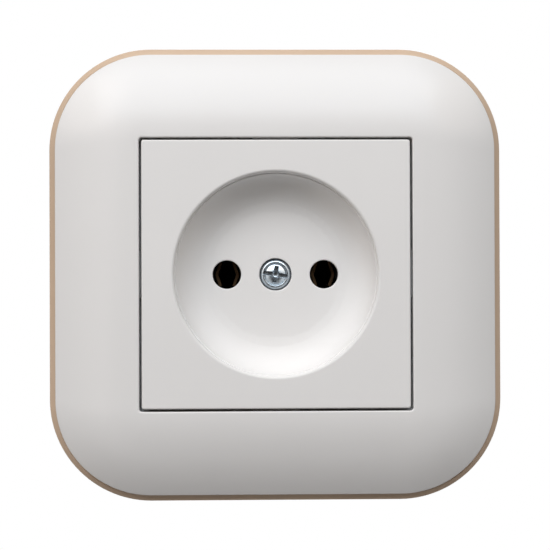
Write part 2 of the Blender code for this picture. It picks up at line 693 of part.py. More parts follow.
def build_cover_screw():
    profile = screw_profile(
        COVER_SCREW_HEAD_RADIUS, COVER_SCREW_HEAD_HEIGHT, COVER_SCREW_SHANK_RADIUS, COVER_SCREW_LENGTH
    )
    spot, turn = (0, 0, SCREW_SEAT), (0, 0, COVER_SCREW_TURN)
    screw = turned("cover_screw", profile, SCREW_STEPS, ZINC_STEEL, spot, turn)
    bottom, top = COVER_SCREW_HEAD_HEIGHT - COVER_SCREW_SLOT_DEPTH, COVER_SCREW_HEAD_HEIGHT + CUTTER_REACH
    width = COVER_SCREW_SLOT_WIDTH / 2
    arms = (("slot", COVER_SCREW_SLOT_REACH, width), ("cross", width, COVER_SCREW_CROSS_REACH))
    for name, x, y in arms:
        bm = bmesh.new()
        add_box(bm, (-x, -y, bottom), (x, y, top))
        boolean(screw, object_from(f"cover_screw_{name}", bm, None, spot, turn, True), "DIFFERENCE")


def build_cover_nut():
    half = NUT_SIDE / 2
    hole = circle_points(COVER_SCREW_SHANK_RADIUS + SCREW_ROOM)
    extruded("cover_nut", [box_points((-half, -half), (half, half)), hole], NUT_BOTTOM, NUT_TOP, BRASS)


def build_mounting_plate():
    half_spacing = BOX_SCREW_SPACING / 2
    loops = [
        clipped_rectangle(PLATE_SIDE, PLATE_SIDE, PLATE_CHAMFER),
        circle_points(PLATE_OPENING_RADIUS, 2 * CIRCLE_STEPS),
    ]
    for i in range(4):
        angle = i * math.pi / 2
        centre = (half_spacing * math.cos(angle), half_spacing * math.sin(angle))
        loops.append(slot_points(BOX_SLOT_WIDTH, BOX_SLOT_LENGTH, centre, angle + math.pi / 2))
    plate = extruded("mounting_plate", loops, 0, PLATE_THICKNESS, ZINC_STEEL)
    ear_end = -CLAW_PIVOT_DEPTH - EAR_REACH
    window_start = EAR_MIDDLE + EAR_THICKNESS / 2 + BEND_RELIEF

    def screw_holes(bm):
        low, high = -CUTTER_REACH, PLATE_THICKNESS + CUTTER_REACH
        for _, side in SIDES:
            add_cylinder(bm, (side * CLAW_SCREW_X, 0), CLAW_SCREW_RADIUS + SCREW_ROOM, low, high)
            pilot = PLATE_SCREW_SHANK_RADIUS + SCREW_ROOM
            add_cylinder(bm, (0, side * PLATE_SCREW_SPACING / 2), pilot, low, high)

    def ear_windows(bm):
        length = PLATE_THICKNESS - ear_end
        for side in (-1, 1):
            for end in (-1, 1):
                x = side * CLAW_PIVOT_X
                y = sorted((end * window_start, end * (window_start + length)))
                low = (x - EAR_WIDTH / 2 - BEND_RELIEF, y[0], -CUTTER_REACH)
                add_box(bm, low, (x + EAR_WIDTH / 2 + BEND_RELIEF, y[1], PLATE_THICKNESS + CUTTER_REACH))

    def ears(bm):
        for side in (-1, 1):
            for end in (-1, 1):
                x, y = side * CLAW_PIVOT_X, end * EAR_MIDDLE
                low = (x - EAR_WIDTH / 2, y - EAR_THICKNESS / 2, ear_end)
                add_box(bm, low, (x + EAR_WIDTH / 2, y + EAR_THICKNESS / 2, PLATE_THICKNESS / 2))

    def pivot_holes(bm):
        reach = EAR_MIDDLE + EAR_THICKNESS
        for side in (-1, 1):
            centre = (side * CLAW_PIVOT_X, -CLAW_PIVOT_DEPTH)
            add_cylinder(bm, centre, TRUNNION_RADIUS + SEAT_GAP, -reach, reach, "Y")

    cut(plate, "plate_screw_holes", screw_holes)
    cut(plate, "plate_ear_windows", ear_windows)
    join(plate, "plate_ears", ears)
    cut(plate, "plate_pivot_holes", pivot_holes)


def build_mechanism_base():
    outline = clipped_rectangle(BASE_WIDTH, BASE_HEIGHT, BASE_CHAMFER)
    base = extruded("mechanism_base", [outline], BASE_BACK, BASE_FACE, DARK_PLASTIC)
    behind = BASE_BACK - CUTTER_REACH
    before = BASE_FACE + CUTTER_REACH
    nut_half = NUT_SIDE / 2 + SEAT_GAP

    def bays_and_nut_pocket(bm):
        for _, side in SIDES:
            x = side * PIN_X
            add_box(bm, (x - BAY_WIDTH / 2, BAY_BOTTOM, behind), (x + BAY_WIDTH / 2, BAY_TOP, BAY_FRONT))
        add_box(bm, (-nut_half, -nut_half, behind), (nut_half, nut_half, NUT_TOP + SEAT_GAP))

    def front_holes(bm):
        for _, side in SIDES:
            pin_room = PIN_HOLE_RADIUS + SEAT_GAP
            add_cylinder(bm, (side * PIN_X, 0), pin_room, BAY_FRONT - CUTTER_REACH, before)
            pilot = PLATE_SCREW_SHANK_RADIUS + SCREW_ROOM
            pilot_end = PLATE_THICKNESS - PLATE_SCREW_LENGTH
            add_cylinder(bm, (0, side * PLATE_SCREW_SPACING / 2), pilot, pilot_end, before)

    def back_and_top_holes(bm):
        pilot = PLATE_SCREW_SHANK_RADIUS + SCREW_ROOM
        pilot_end = REAR_COVER_BACK + REAR_SCREW_LENGTH
        for _, side in SIDES:
            add_cylinder(bm, (0, side * REAR_SCREW_SPACING / 2), pilot, behind, pilot_end)
            access = TERMINAL_SCREW_HEAD_RADIUS + SCREW_ROOM
            centre = (side * PIN_X, TERMINAL_SCREW_DEPTH)
            add_cylinder(bm, centre, access, BAY_TOP - CUTTER_REACH, BASE_HEIGHT / 2 + CUTTER_REACH, "Y")

    cut(base, "base_bays", bays_and_nut_pocket)
    cut(base, "base_front_holes", front_holes)
    cut(base, "base_back_and_top_holes", back_and_top_holes)
    boss_room = COVER_BOSS_RADIUS + SEAT_GAP
    shank_room = COVER_SCREW_SHANK_RADIUS + SCREW_ROOM
    boss_pocket = [
        (0, before),
        (boss_room, before),
        (boss_room, BOSS_END - SEAT_GAP),
        (shank_room, BOSS_END - SEAT_GAP),
        (shank_room, NUT_TOP - CUTTER_REACH),
        (0, NUT_TOP - CUTTER_REACH),
    ]
    boolean(base, turned("base_boss_pocket", boss_pocket, CIRCLE_STEPS, is_cutter=True), "DIFFERENCE")


def build_rear_cover():
    outline = clipped_rectangle(BASE_WIDTH, BASE_HEIGHT, BASE_CHAMFER)
    cover = extruded("rear_cover", [outline], REAR_COVER_BACK, REAR_COVER_FRONT, DARK_PLASTIC)
    root = REAR_COVER_FRONT - REAR_COVER_THICKNESS / 2
    nut_half = NUT_SIDE / 2

    def posts(bm):
        add_box(bm, (-nut_half, -nut_half, root), (nut_half, nut_half, NUT_BOTTOM - SEAT_GAP))
        for _, side in SIDES:
            x, y = side * PIN_X, BRIDGE_HEIGHT
            low = (x - CONTACT_POST_WIDTH / 2, y - CONTACT_POST_HEIGHT / 2, root)
            high = (x + CONTACT_POST_WIDTH / 2, y + CONTACT_POST_HEIGHT / 2, LEAF_BACK - SEAT_GAP)
            add_box(bm, low, high)

    def holes(bm):
        low, high = REAR_COVER_BACK - CUTTER_REACH, REAR_COVER_FRONT + CUTTER_REACH
        for _, side in SIDES:
            pilot = PLATE_SCREW_SHANK_RADIUS + SCREW_ROOM
            add_cylinder(bm, (0, side * REAR_SCREW_SPACING / 2), pilot, low, high)
            for end in (-1, 1):
                x = side * PIN_X + end * WIRE_HOLE_SPACING / 2
                add_cylinder(bm, (x, WIRE_LEVEL), WIRE_HOLE_RADIUS, low, high)
        screw_end = SCREW_SEAT - COVER_SCREW_LENGTH
        tip_room = COVER_SCREW_SHANK_RADIUS + SCREW_ROOM
        add_cylinder(bm, (0, 0), tip_room, screw_end - CUTTER_REACH, NUT_BOTTOM)

    join(cover, "rear_cover_posts", posts)
    cut(cover, "rear_cover_holes", holes)


def build_contact(side_name, side):
    x = side * PIN_X
    half = [
        (LEAF_END, -LEAF_HALF_HEIGHT),
        (LEAF_APEX, 0),
        (LEAF_END, LEAF_HALF_HEIGHT),
        (LEAF_SHOULDER, SHOULDER_BOTTOM),
        (LEAF_SHOULDER, BRIDGE_HEIGHT),
    ]
    path = half + [(-px, py) for px, py in reversed(half)]
    outline = strip_outline(path, LEAF_THICKNESS)
    leaves = extruded(f"contact_{side_name}", [outline], LEAF_BACK, CONTACT_FRONT, BRASS, (x, 0, 0))
    riser = -CONTACT_FRONT + LEAF_THICKNESS / 2
    tongue_path = [(riser, BRIDGE_HEIGHT), (riser, TONGUE_HEIGHT), (riser + TONGUE_REACH, TONGUE_HEIGHT)]
    tongue = extruded(
        f"contact_tongue_{side_name}",
        [strip_outline(tongue_path, LEAF_THICKNESS)],
        -TONGUE_WIDTH / 2,
        TONGUE_WIDTH / 2,
        None,
        (x, 0, 0),
        FROM_SIDE,
        True,
    )
    boolean(leaves, tongue, "UNION")


def build_contact_spring(side_name, side):
    spread = LEAF_APEX + LEAF_THICKNESS / 2 + SEAT_GAP + CONTACT_SPRING_THICKNESS / 2
    foot = CONTACT_SPRING_THICKNESS / 2 - SPRING_FOOT
    corners = [(-spread, CONTACT_SPRING_TOP), (-spread, foot), (spread, foot), (spread, CONTACT_SPRING_TOP)]
    outline = strip_outline(rounded_path(corners, CONTACT_SPRING_BEND), CONTACT_SPRING_THICKNESS)
    front = CONTACT_FRONT - CONTACT_SPRING_INSET
    spot = (side * PIN_X, 0, 0)
    extruded(
        f"contact_spring_{side_name}", [outline], front - CONTACT_SPRING_LENGTH, front, SPRING_STEEL, spot
    )


def build_terminal_clamp(side_name, side):
    inside = TONGUE_WIDTH / 2 + SEAT_GAP
    outside = inside + CLAMP_WALL
    loops = [
        box_points((-outside, CLAMP_FLOOR), (outside, CLAMP_TOP)),
        box_points((-inside, CLAMP_FLOOR + CLAMP_WALL), (inside, CLAMP_TOP - CLAMP_ROOF)),
    ]
    x = side * PIN_X
    name = f"terminal_clamp_{side_name}"
    clamp = extruded(name, loops, CLAMP_FRONT - CLAMP_LENGTH, CLAMP_FRONT, ZINC_STEEL, (x, 0, 0))

    def screw_hole(bm):
        radius = TERMINAL_SCREW_RADIUS + SCREW_ROOM
        low, high = CLAMP_TOP - CLAMP_ROOF - CUTTER_REACH / 2, CLAMP_TOP + CUTTER_REACH
        add_cylinder(bm, (x, TERMINAL_SCREW_DEPTH), radius, low, high, "Y")

    cut(clamp, f"{name}_hole", screw_hole)


def build_terminal_screw(side_name, side):
    head = (TERMINAL_SCREW_HEAD_RADIUS, TERMINAL_SCREW_HEAD_HEIGHT)
    spot = (side * PIN_X, TERMINAL_SCREW_SEAT, TERMINAL_SCREW_DEPTH)
    upward = (math.radians(-90), 0, 0)
    name = f"terminal_screw_{side_name}"
    slot_turn = side * math.radians(20)
    slotted_screw(name, head, TERMINAL_SCREW_RADIUS, TERMINAL_SCREW_LENGTH, spot, upward, slot_turn)


def build_plate_screw(end_name, end):
    head = (PLATE_SCREW_HEAD_RADIUS, PLATE_SCREW_HEAD_HEIGHT)
    spot = (0, end * PLATE_SCREW_SPACING / 2, PLATE_THICKNESS + SEAT_GAP)
    name = f"plate_screw_{end_name}"
    forward, slot_turn = (0, 0, 0), math.radians(35)
    slotted_screw(name, head, PLATE_SCREW_SHANK_RADIUS, PLATE_SCREW_LENGTH, spot, forward, slot_turn)


def build_rear_screw(end_name, end):
    head = (PLATE_SCREW_HEAD_RADIUS, PLATE_SCREW_HEAD_HEIGHT)
    spot = (0, end * REAR_SCREW_SPACING / 2, REAR_COVER_BACK - SEAT_GAP)
    name = f"rear_screw_{end_name}"
    backward, slot_turn = (math.pi, 0, 0), math.radians(-25)
    slotted_screw(name, head, PLATE_SCREW_SHANK_RADIUS, REAR_SCREW_LENGTH, spot, backward, slot_turn)


def build_claw(side_name, side):
    """A claw of bent sheet steel. Its origin is on the axis of its two trunnions."""
    pivot = Vector((side * CLAW_PIVOT_X, 0, -CLAW_PIVOT_DEPTH))
    tip = Vector((CLAW_TIP_OUT, -CLAW_ARM - CLAW_TIP_BACK))
    path = rounded_path([(CLAW_FOOT, 0), (0, 0), (0, -CLAW_ARM), tip], CLAW_BEND)
    outline = [(side * px, pz) for px, pz in strip_outline(path, CLAW_THICKNESS)]
    name = f"claw_{side_name}"
    claw = extruded(name, [outline], -CLAW_WIDTH / 2, CLAW_WIDTH / 2, ZINC_STEEL, pivot, FROM_ABOVE)

    def trunnion(bm):
        reach = EAR_MIDDLE + EAR_THICKNESS / 2
        add_cylinder(bm, (pivot.x, pivot.z), TRUNNION_RADIUS, -reach, reach, "Y")

    def screw_hole(bm):
        radius = CLAW_SCREW_RADIUS + CLAW_SCREW_ROOM
        low, high = pivot.z - CUTTER_REACH, pivot.z + CUTTER_REACH
        add_cylinder(bm, (pivot.x + side * CLAW_SCREW_OFFSET, 0), radius, low, high)

    join(claw, f"{name}_trunnion", trunnion)
    cut(claw, f"{name}_screw_hole", screw_hole)
    pitch = CLAW_WIDTH / CLAW_TEETH
    reach = CLAW_TOOTH_DEPTH / 2
    wide = pitch / 2 * (CLAW_TOOTH_DEPTH + reach) / CLAW_TOOTH_DEPTH
    notches = []
    for i in range(CLAW_TEETH + 1):
        middle = -CLAW_WIDTH / 2 + i * pitch
        notches.append([(-CLAW_TOOTH_DEPTH, middle), (reach, middle - wide), (reach, middle + wide)])
    drop = math.atan2(CLAW_TIP_BACK, CLAW_TIP_OUT)
    spin = drop if side > 0 else math.pi - drop
    spot = pivot + Vector((side * tip.x, 0, tip.y))
    for i, notch in enumerate(notches):
        cutter = extruded(
            f"{name}_notch_{i}", [notch], -CLAW_THICKNESS, CLAW_THICKNESS, None, spot, (0, spin, 0), True
        )
        boolean(claw, cutter, "DIFFERENCE")


def build_claw_screw(side_name, side):
    head = (CLAW_SCREW_HEAD_RADIUS, CLAW_SCREW_HEAD_HEIGHT)
    spot = (side * CLAW_SCREW_X, 0, PLATE_THICKNESS + SEAT_GAP)
    name = f"claw_screw_{side_name}"
    slotted_screw(name, head, CLAW_SCREW_RADIUS, CLAW_SCREW_LENGTH, spot, (0, 0, 0), math.radians(90))


build_outer_frame()
build_base_frame()
build_socket_cover()
build_cover_screw()
build_cover_nut()
build_mounting_plate()
build_mechanism_base()
build_rear_cover()
for SIDE_NAME, SIDE in SIDES:
    build_contact(SIDE_NAME, SIDE)
    build_contact_spring(SIDE_NAME, SIDE)
    build_terminal_clamp(SIDE_NAME, SIDE)
    build_terminal_screw(SIDE_NAME, SIDE)
    build_claw(SIDE_NAME, SIDE)
    build_claw_screw(SIDE_NAME, SIDE)
for END_NAME, END in ENDS:
    build_plate_screw(END_NAME, END)
    build_rear_screw(END_NAME, END)
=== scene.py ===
"""Looks of a flush wall socket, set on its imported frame: fine meshes, finishes, light and camera.

Shapes are drawn in wall coordinates, in metres: X to the right, Y up, Z out of the wall, which is at Z = 0.
UPRIGHT turns them to the frame's own coordinates, where the socket faces -Y.
"""

import math

import bmesh
import bpy
from mathutils import Euler, Matrix, Vector
from mathutils.geometry import delaunay_2d_cdt


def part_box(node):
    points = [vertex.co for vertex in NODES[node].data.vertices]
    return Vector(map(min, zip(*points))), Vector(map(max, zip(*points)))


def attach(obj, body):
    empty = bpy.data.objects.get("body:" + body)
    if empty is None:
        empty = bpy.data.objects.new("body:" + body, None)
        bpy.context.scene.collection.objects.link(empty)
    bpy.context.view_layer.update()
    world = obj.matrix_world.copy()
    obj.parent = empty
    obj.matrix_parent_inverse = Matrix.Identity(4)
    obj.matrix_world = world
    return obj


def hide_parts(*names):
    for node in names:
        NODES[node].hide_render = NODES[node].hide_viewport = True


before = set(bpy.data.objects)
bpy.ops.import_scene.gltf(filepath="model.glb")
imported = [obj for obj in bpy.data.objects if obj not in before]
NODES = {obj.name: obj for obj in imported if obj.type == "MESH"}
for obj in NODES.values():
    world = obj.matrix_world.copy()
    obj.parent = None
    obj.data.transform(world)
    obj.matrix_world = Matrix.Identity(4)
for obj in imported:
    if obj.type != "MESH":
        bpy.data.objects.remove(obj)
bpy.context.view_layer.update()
UPRIGHT = Matrix.Rotation(math.radians(90), 4, "X")
MM = 0.001


def half_width(node):
    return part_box(node)[1].x


def top_of(node):
    """How far a node reaches out of the wall."""
    return -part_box(node)[0].y


def height_of(node):
    """How far above the middle of the socket a node's own middle lies."""
    low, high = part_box(node)
    return (low.z + high.z) / 2


# Sizes of the frame and the room between its pieces
BASE_HALF = half_width("base_frame")
BASE_TOP = top_of("base_frame")
FRAME_HALF = half_width("outer_frame")
COVER_HALF = half_width("socket_cover")
COVER_FACE = top_of("socket_cover")
PLATE_HALF = half_width("mounting_plate")
SEAT_GAP = 0.3 * MM
COVER_GAP = 0.5 * MM
OPENING_HALF = COVER_HALF + COVER_GAP

# Rounding of most moulded edges and inner corners, and how far a cutter reaches past what it cuts
PLASTIC_EDGE = 0.15 * MM
INNER_EDGE = 0.3 * MM
CUT_PAST = 1 * MM

# Tan frame
BASE_CORNER = 19.8 * MM
BASE_RIM_DROP = 0.8 * MM
BASE_RIM_EDGE = 0.5 * MM
BASE_WEB = 1.5 * MM
BASE_WALL = 2.0 * MM
BASE_OPENING_HALF = PLATE_HALF - 1.0 * MM
BASE_OPENING_CORNER = 3.0 * MM
WINDOW_CORNER = 0.3 * MM

# White frame, whose face falls from its opening to its rim
FRAME_BOW = 4.9 * MM
FRAME_BOW_POWER = 2.0
FRAME_RIM_THICKNESS = 0.53 * MM
FRAME_RIM_FLAT = 0.4 * MM
FRAME_RIM_EDGE = 0.22 * MM
FRAME_FOOT_EDGE = 0.12 * MM
FRAME_WALL = 2.0 * MM
FRAME_SKIRT_WALL = 1.8 * MM
FRAME_CORNER = 18.5 * MM
FRAME_OPENING_CORNER = 0.6 * MM
FRAME_EDGE_ROUND = 0.25 * MM
LEDGE_WIDTH = 1.7 * MM
LEDGE_HEIGHT = 1.5 * MM
LEDGE_EDGE = 0.2 * MM
RIB_LENGTH = 9.0 * MM
RIB_HEIGHT = 0.2 * MM
RIB_TOP_DEPTH = 2.2 * MM
RIB_EDGE = 0.12 * MM
CLIP_SPACING = 36.0 * MM
CLIP_WIDTH = 5.0 * MM
CLIP_THICKNESS = 1.2 * MM
CLIP_HOOK = 0.8 * MM
CLIP_HOOK_HEIGHT = 0.6 * MM
CLIP_ROOM = 0.4 * MM
CLIP_EDGE = 0.1 * MM
CLIP_INSIDE = PLATE_HALF + 1.0 * MM
FRAME_SEAT = BASE_TOP + SEAT_GAP
LEDGE_TOP = FRAME_SEAT + LEDGE_HEIGHT
FRAME_CREST = FRAME_SEAT + FRAME_RIM_THICKNESS + FRAME_BOW

# Cover plate and its recess
COVER_CORNER = 0.5 * MM
COVER_EDGE_ROUND = 0.3 * MM
COVER_PLATE = 2.0 * MM
COVER_FACE_RINGS = (0.35, 1.0)
COVER_UNDERSIDE_STEP = 1 * MM
COVER_SKIRT_WALL = 1.5 * MM
COVER_SKIRT_END = LEDGE_TOP + SEAT_GAP
RECESS_RADIUS = 19.5 * MM
RIM_ROUND = 0.6 * MM
LIP_DEPTH = 0.8 * MM
LIP_DRAFT = 0.05 * MM
LIP_STEP = 0.2 * MM
LIP_EDGE = 0.08 * MM
LIP_FOOT_EDGE = 0.05 * MM
LIP_FOOT = COVER_FACE - RIM_ROUND - LIP_DEPTH
LIP_RADIUS = RECESS_RADIUS - LIP_DRAFT - LIP_STEP
WALL_ANGLE = math.radians(72)
WALL_BEND = 7.0 * MM
FLOOR = 2.0 * MM
STRAIGHT_RISE = LIP_FOOT - FLOOR - WALL_BEND * (1 - math.cos(WALL_ANGLE))
FLOOR_RADIUS = LIP_RADIUS - STRAIGHT_RISE / math.tan(WALL_ANGLE) - WALL_BEND * math.sin(WALL_ANGLE)
SHELL = 1.8 * MM
PIN_X = 9.5 * MM
PIN_HOLE = 2.8 * MM
HOLE_EDGE_ROUND = 0.18 * MM
SCREW_HOLE = 3.15 * MM
SHANK_HOLE = 1.8 * MM
SCREW_HOLE_FLOOR = 0.2 * MM
BOSS_RADIUS = 4.6 * MM
BOSS_END = -1.8 * MM

# The middle of the recess's surface, a net of triangles: its radius, the spacing and rise of its rows, the
# distance of its two rings from each hole, and the room that rows and rings leave round holes
DISC_RADIUS = 14.0 * MM
NET_SPACING = 0.55 * MM
NET_ROW_RISE = 0.866
NET_RINGS = (0.35 * MM, 0.8 * MM)
NET_ROW_ROOM = 1.05 * MM
NET_RING_ROOM = 0.3 * MM
NET_PRECISION = 1e-9

# Cover screw: its seat and turn, its dome, and its shank and thread
COVER_SCREW_RADIUS = half_width("cover_screw")
COVER_SCREW_SEAT = 0.5 * MM
COVER_SCREW_TURN = math.radians(-9.5)
HEAD_TOP = 1.9 * MM
DOME_RADIUS = 2.0 * MM
DOME_DROP = 0.46 * MM
HEAD_FOOT_EDGE = 0.1 * MM
SEAT_SHARE = 0.8
COVER_SCREW_SHANK = (1.5 * MM, 7.0 * MM)
COVER_SCREW_THREAD = (0.3 * MM, 0.5 * MM, 0.6 * MM)

# Its head outside the dome, as (radius, drop under the top, rounding): a groove, a raised ring and a shoulder
HEAD_RING = (
    (2.10 * MM, 0.62 * MM, 0.06 * MM),
    (2.22 * MM, 0.30 * MM, 0.12 * MM),
    (2.62 * MM, 0.26 * MM, 0.4 * MM),
    (COVER_SCREW_RADIUS, 0.85 * MM, 0.3 * MM),
)

# Its slot and cross as (reach, width, bottom, top, draft), and the cone that opens their middle
COVER_SLOT = (2.35 * MM, 0.66 * MM, 0.95 * MM, 2.0 * MM, 0.16 * MM)
COVER_CROSS = (1.6 * MM, 0.66 * MM, 0.75 * MM, 2.0 * MM, 0.16 * MM)
COVER_CONE = ((0, 0.45 * MM), (0.5 * MM, 0.6 * MM), (0.95 * MM, 2.2 * MM), (0, 2.3 * MM))

# The other screws, each as the radius and height of its head, the radius and length of its shank, and the
# depth and pitch of its thread with the plain length above it
CLAW_SCREW = ((2.6 * MM, 1.5 * MM), (1.5 * MM, 10.5 * MM), (0.3 * MM, 0.5 * MM, 1.6 * MM))
TERMINAL_SCREW = ((2.5 * MM, 1.8 * MM), (1.5 * MM, 6.2 * MM), (0.3 * MM, 0.5 * MM, 0.8 * MM))
PLATE_SCREW = ((2.0 * MM, 0.9 * MM), (1.1 * MM, 8.0 * MM), (0.25 * MM, 0.8 * MM, 0.8 * MM))
REAR_SCREW = ((2.0 * MM, 0.9 * MM), (1.1 * MM, 8.5 * MM), (0.25 * MM, 0.8 * MM, 0.8 * MM))
CLAW_SCREW_X = 23.5 * MM
TERMINAL_SEAT_Y = 15.8 * MM
TERMINAL_SEAT_Z = -7.5 * MM
PLATE_SEAT = 1.0 * MM + SEAT_GAP
REAR_SEAT = -20.8 * MM - SEAT_GAP
CLAW_SLOT_TURN = math.radians(90)
TERMINAL_SLOT_TURN = math.radians(20)
PLATE_SLOT_TURN = math.radians(35)
REAR_SLOT_TURN = math.radians(-25)
SLOT_WIDTH = 0.8 * MM
SLOT_DRAFT = 0.04 * MM
SLOT_CORNER = 0.08 * MM
SLOT_BOTTOM_SHARE = 0.55
SLOT_REACH_SHARE = 1.2

# A pan head's profile in shares of its radius and height, with the rounding of each corner
PAN_HEAD = ((0, 1, 0), (0.45, 0.985, 0.3), (0.97, 0.6, 0.12), (1, 0.35, 0.04), (1, 0, 0.05), (0.8, 0, 0))

# Threads: the share of the depth cut at the tip, the steepness of the flanks and the flat of the crest
THREAD_START = 0.4
THREAD_SLOPE = 1.25
THREAD_CREST = 0.12

# How finely round shapes are drawn
CORNER_STEPS = 28
BOW_STEPS = 48
RECESS_STEPS = 160
RECESS_ARC_STEPS = 28
RECESS_RIM_STEPS = 8
RECESS_SHELL_STEPS = 16
COVER_CORNER_STEPS = 8
HOLE_STEPS = 48
CONE_STEPS = 24
DOME_STEPS = 8
HEAD_STEPS = 8
SCREW_STEPS = 56
THREAD_ROWS = 10
ROUND_STEPS = 6
FINE_ROUND_STEPS = 3
SMOOTH_ANGLE = math.radians(32)
SCREW_SMOOTH_ANGLE = math.radians(38)
COVER_SMOOTH_ANGLE = math.radians(40)
MERGE_DISTANCE = 1e-7


def add_piece(name, bm, finish, replaced, body="socket", smooth_angle=SMOOTH_ANGLE):
    """Turns a mesh drawn in wall coordinates into a piece that stands for CAD nodes."""
    mesh = bpy.data.meshes.new(name)
    bmesh.ops.remove_doubles(bm, verts=bm.verts, dist=MERGE_DISTANCE)
    bmesh.ops.recalc_face_normals(bm, faces=bm.faces)
    bmesh.ops.transform(bm, matrix=UPRIGHT, verts=bm.verts)
    bm.to_mesh(mesh)
    bm.free()
    for polygon in mesh.polygons:
        polygon.use_smooth = True
    mesh.set_sharp_from_angle(angle=smooth_angle)
    obj = bpy.data.objects.new(name, mesh)
    bpy.context.scene.collection.objects.link(obj)
    mesh.materials.append(finish)
    weighted = obj.modifiers.new("even_normals", "WEIGHTED_NORMAL")
    weighted.keep_sharp = True
    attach(obj, body)
    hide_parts(replaced)


def combine(target, tool, operation):
    """Joins or cuts one bmesh with another and returns the result as a new bmesh."""
    objects = []
    for i, bm in enumerate((target, tool)):
        mesh = bpy.data.meshes.new(f"boolean_{i}")
        bmesh.ops.recalc_face_normals(bm, faces=bm.faces)
        bm.to_mesh(mesh)
        bm.free()
        obj = bpy.data.objects.new(f"boolean_{i}", mesh)
        bpy.context.scene.collection.objects.link(obj)
        objects.append(obj)
    modifier = objects[0].modifiers.new("combine", "BOOLEAN")
    modifier.operation = operation
    modifier.solver = "EXACT"
    modifier.object = objects[1]
    modifier.use_self = operation == "UNION"
    bpy.context.view_layer.update()
    result = bmesh.new()
    evaluated = objects[0].evaluated_get(bpy.context.evaluated_depsgraph_get())
    result.from_mesh(evaluated.to_mesh())
    evaluated.to_mesh_clear()
    for obj in objects:
        mesh = obj.data
        bpy.data.objects.remove(obj)
        bpy.data.meshes.remove(mesh)
    return result


def arc(centre, radius, start, end, steps):
    """Points of an arc in a section, from one angle to another."""
    angles = [start + (end - start) * i / steps for i in range(steps + 1)]
    return [(centre[0] + radius * math.cos(a), centre[1] + radius * math.sin(a)) for a in angles]


def rounded(corners, closed=True, steps=ROUND_STEPS):
    """A section whose corners, given as (across, height, radius), are rounded by arcs."""
    count = len(corners)
    points = []
    for i, (x, z, radius) in enumerate(corners):
        corner = Vector((x, z))
        if radius <= 0 or (not closed and i in (0, count - 1)):
            points.append(corner)
            continue
        before = Vector(corners[i - 1][:2])
        after = Vector(corners[(i + 1) % count][:2])
        to_before, to_after = (before - corner).normalized(), (after - corner).normalized()
        half_angle = to_before.angle(to_after) / 2
        start = corner + to_before * (radius / math.tan(half_angle))
        centre = corner + (to_before + to_after).normalized() * (radius / math.sin(half_angle))
        sweep = math.pi - 2 * half_angle
        if to_before.cross(to_after) > 0:
            sweep = -sweep
        ray = start - centre
        points += [centre + Matrix.Rotation(sweep * j / steps, 2) @ ray for j in range(steps + 1)]
    return points


def rounded_square(half, radius, corner_steps=CORNER_STEPS, side_steps=1):
    """Points round a square with round corners, anticlockwise from the lower end of its right side."""
    points = []
    for corner in range(4):
        turn = Matrix.Rotation(corner * math.pi / 2, 2)
        straight = half - radius
        for i in range(side_steps):
            points.append(turn @ Vector((half, -straight + 2 * straight * i / side_steps)))
        for i in range(corner_steps):
            angle = math.pi / 2 * i / corner_steps
            x, y = straight + radius * math.cos(angle), straight + radius * math.sin(angle)
            points.append(turn @ Vector((x, y)))
    return points


def circle(radius, steps, centre=(0, 0), start=0.0):
    angles = [start + 2 * math.pi * i / steps for i in range(steps)]
    return [Vector((centre[0] + radius * math.cos(a), centre[1] + radius * math.sin(a))) for a in angles]


def bridge(bm, rings, closed=False):
    """Joins rings of vertices, each with the same number of them, by quads."""
    pairs = list(zip(rings, rings[1:]))
    if closed:
        pairs.append((rings[-1], rings[0]))
    for near, far in pairs:
        for i in range(len(near)):
            j = (i + 1) % len(near)
            bm.faces.new((near[i], near[j], far[j], far[i]))


def ring(bm, points, height):
    return [bm.verts.new((p[0], p[1], height)) for p in points]


def framed_loft(section, corner_radius):
    """A closed frame: each (half side, height) point of the section becomes a round-cornered square."""
    bm = bmesh.new()
    rings = [ring(bm, rounded_square(half, corner_radius(half)), height) for half, height in section]
    bridge(bm, rings, closed=True)
    return bm


def close_ring(bm, edge, height):
    """Closes a ring of vertices with triangles that meet on the axis."""
    tip = bm.verts.new((0, 0, height))
    for i in range(len(edge)):
        bm.faces.new((edge[i], edge[(i + 1) % len(edge)], tip))


def turned(bm, profile, steps):
    """Adds a turned shape whose (radius, height) profile begins and ends on the axis."""
    rings = [ring(bm, circle(radius, steps), height) for radius, height in profile[1:-1]]
    bridge(bm, rings)
    close_ring(bm, rings[0], profile[0][1])
    close_ring(bm, rings[-1], profile[-1][1])


def prism(bm, outline, low, high, place):
    """Adds an outline in its own X and Y, extruded from low to high along its Z and moved by place."""
    ends = [[bm.verts.new(place @ Vector((x, y, z))) for x, y in outline] for z in (low, high)]
    bridge(bm, ends)
    for end in ends:
        bm.faces.new(end)


# Finishes, all of them procedural

# Sizes of the noise in the finishes, in cells per metre
DRIFT_SCALE = 60
PATCH_SCALE = 220
WAVE_SCALE = 90
CLOUD_SCALE = 700
STREAK_SCALE = 900
PIT_SCALE = 2600
STAGE_SCALE = 12
STREAK_STRETCH = (1, 1, 14)

# The part of a noise's values that is spread over a finish's range
NOISE_LOW = 0.3
NOISE_HIGH = 0.7

PLASTIC_IOR = 1.5
PLASTIC_SPECULAR = 0.25


def new_material(name):
    made = bpy.data.materials.new(name)
    made.use_nodes = True
    return made, made.node_tree.nodes, made.node_tree.links


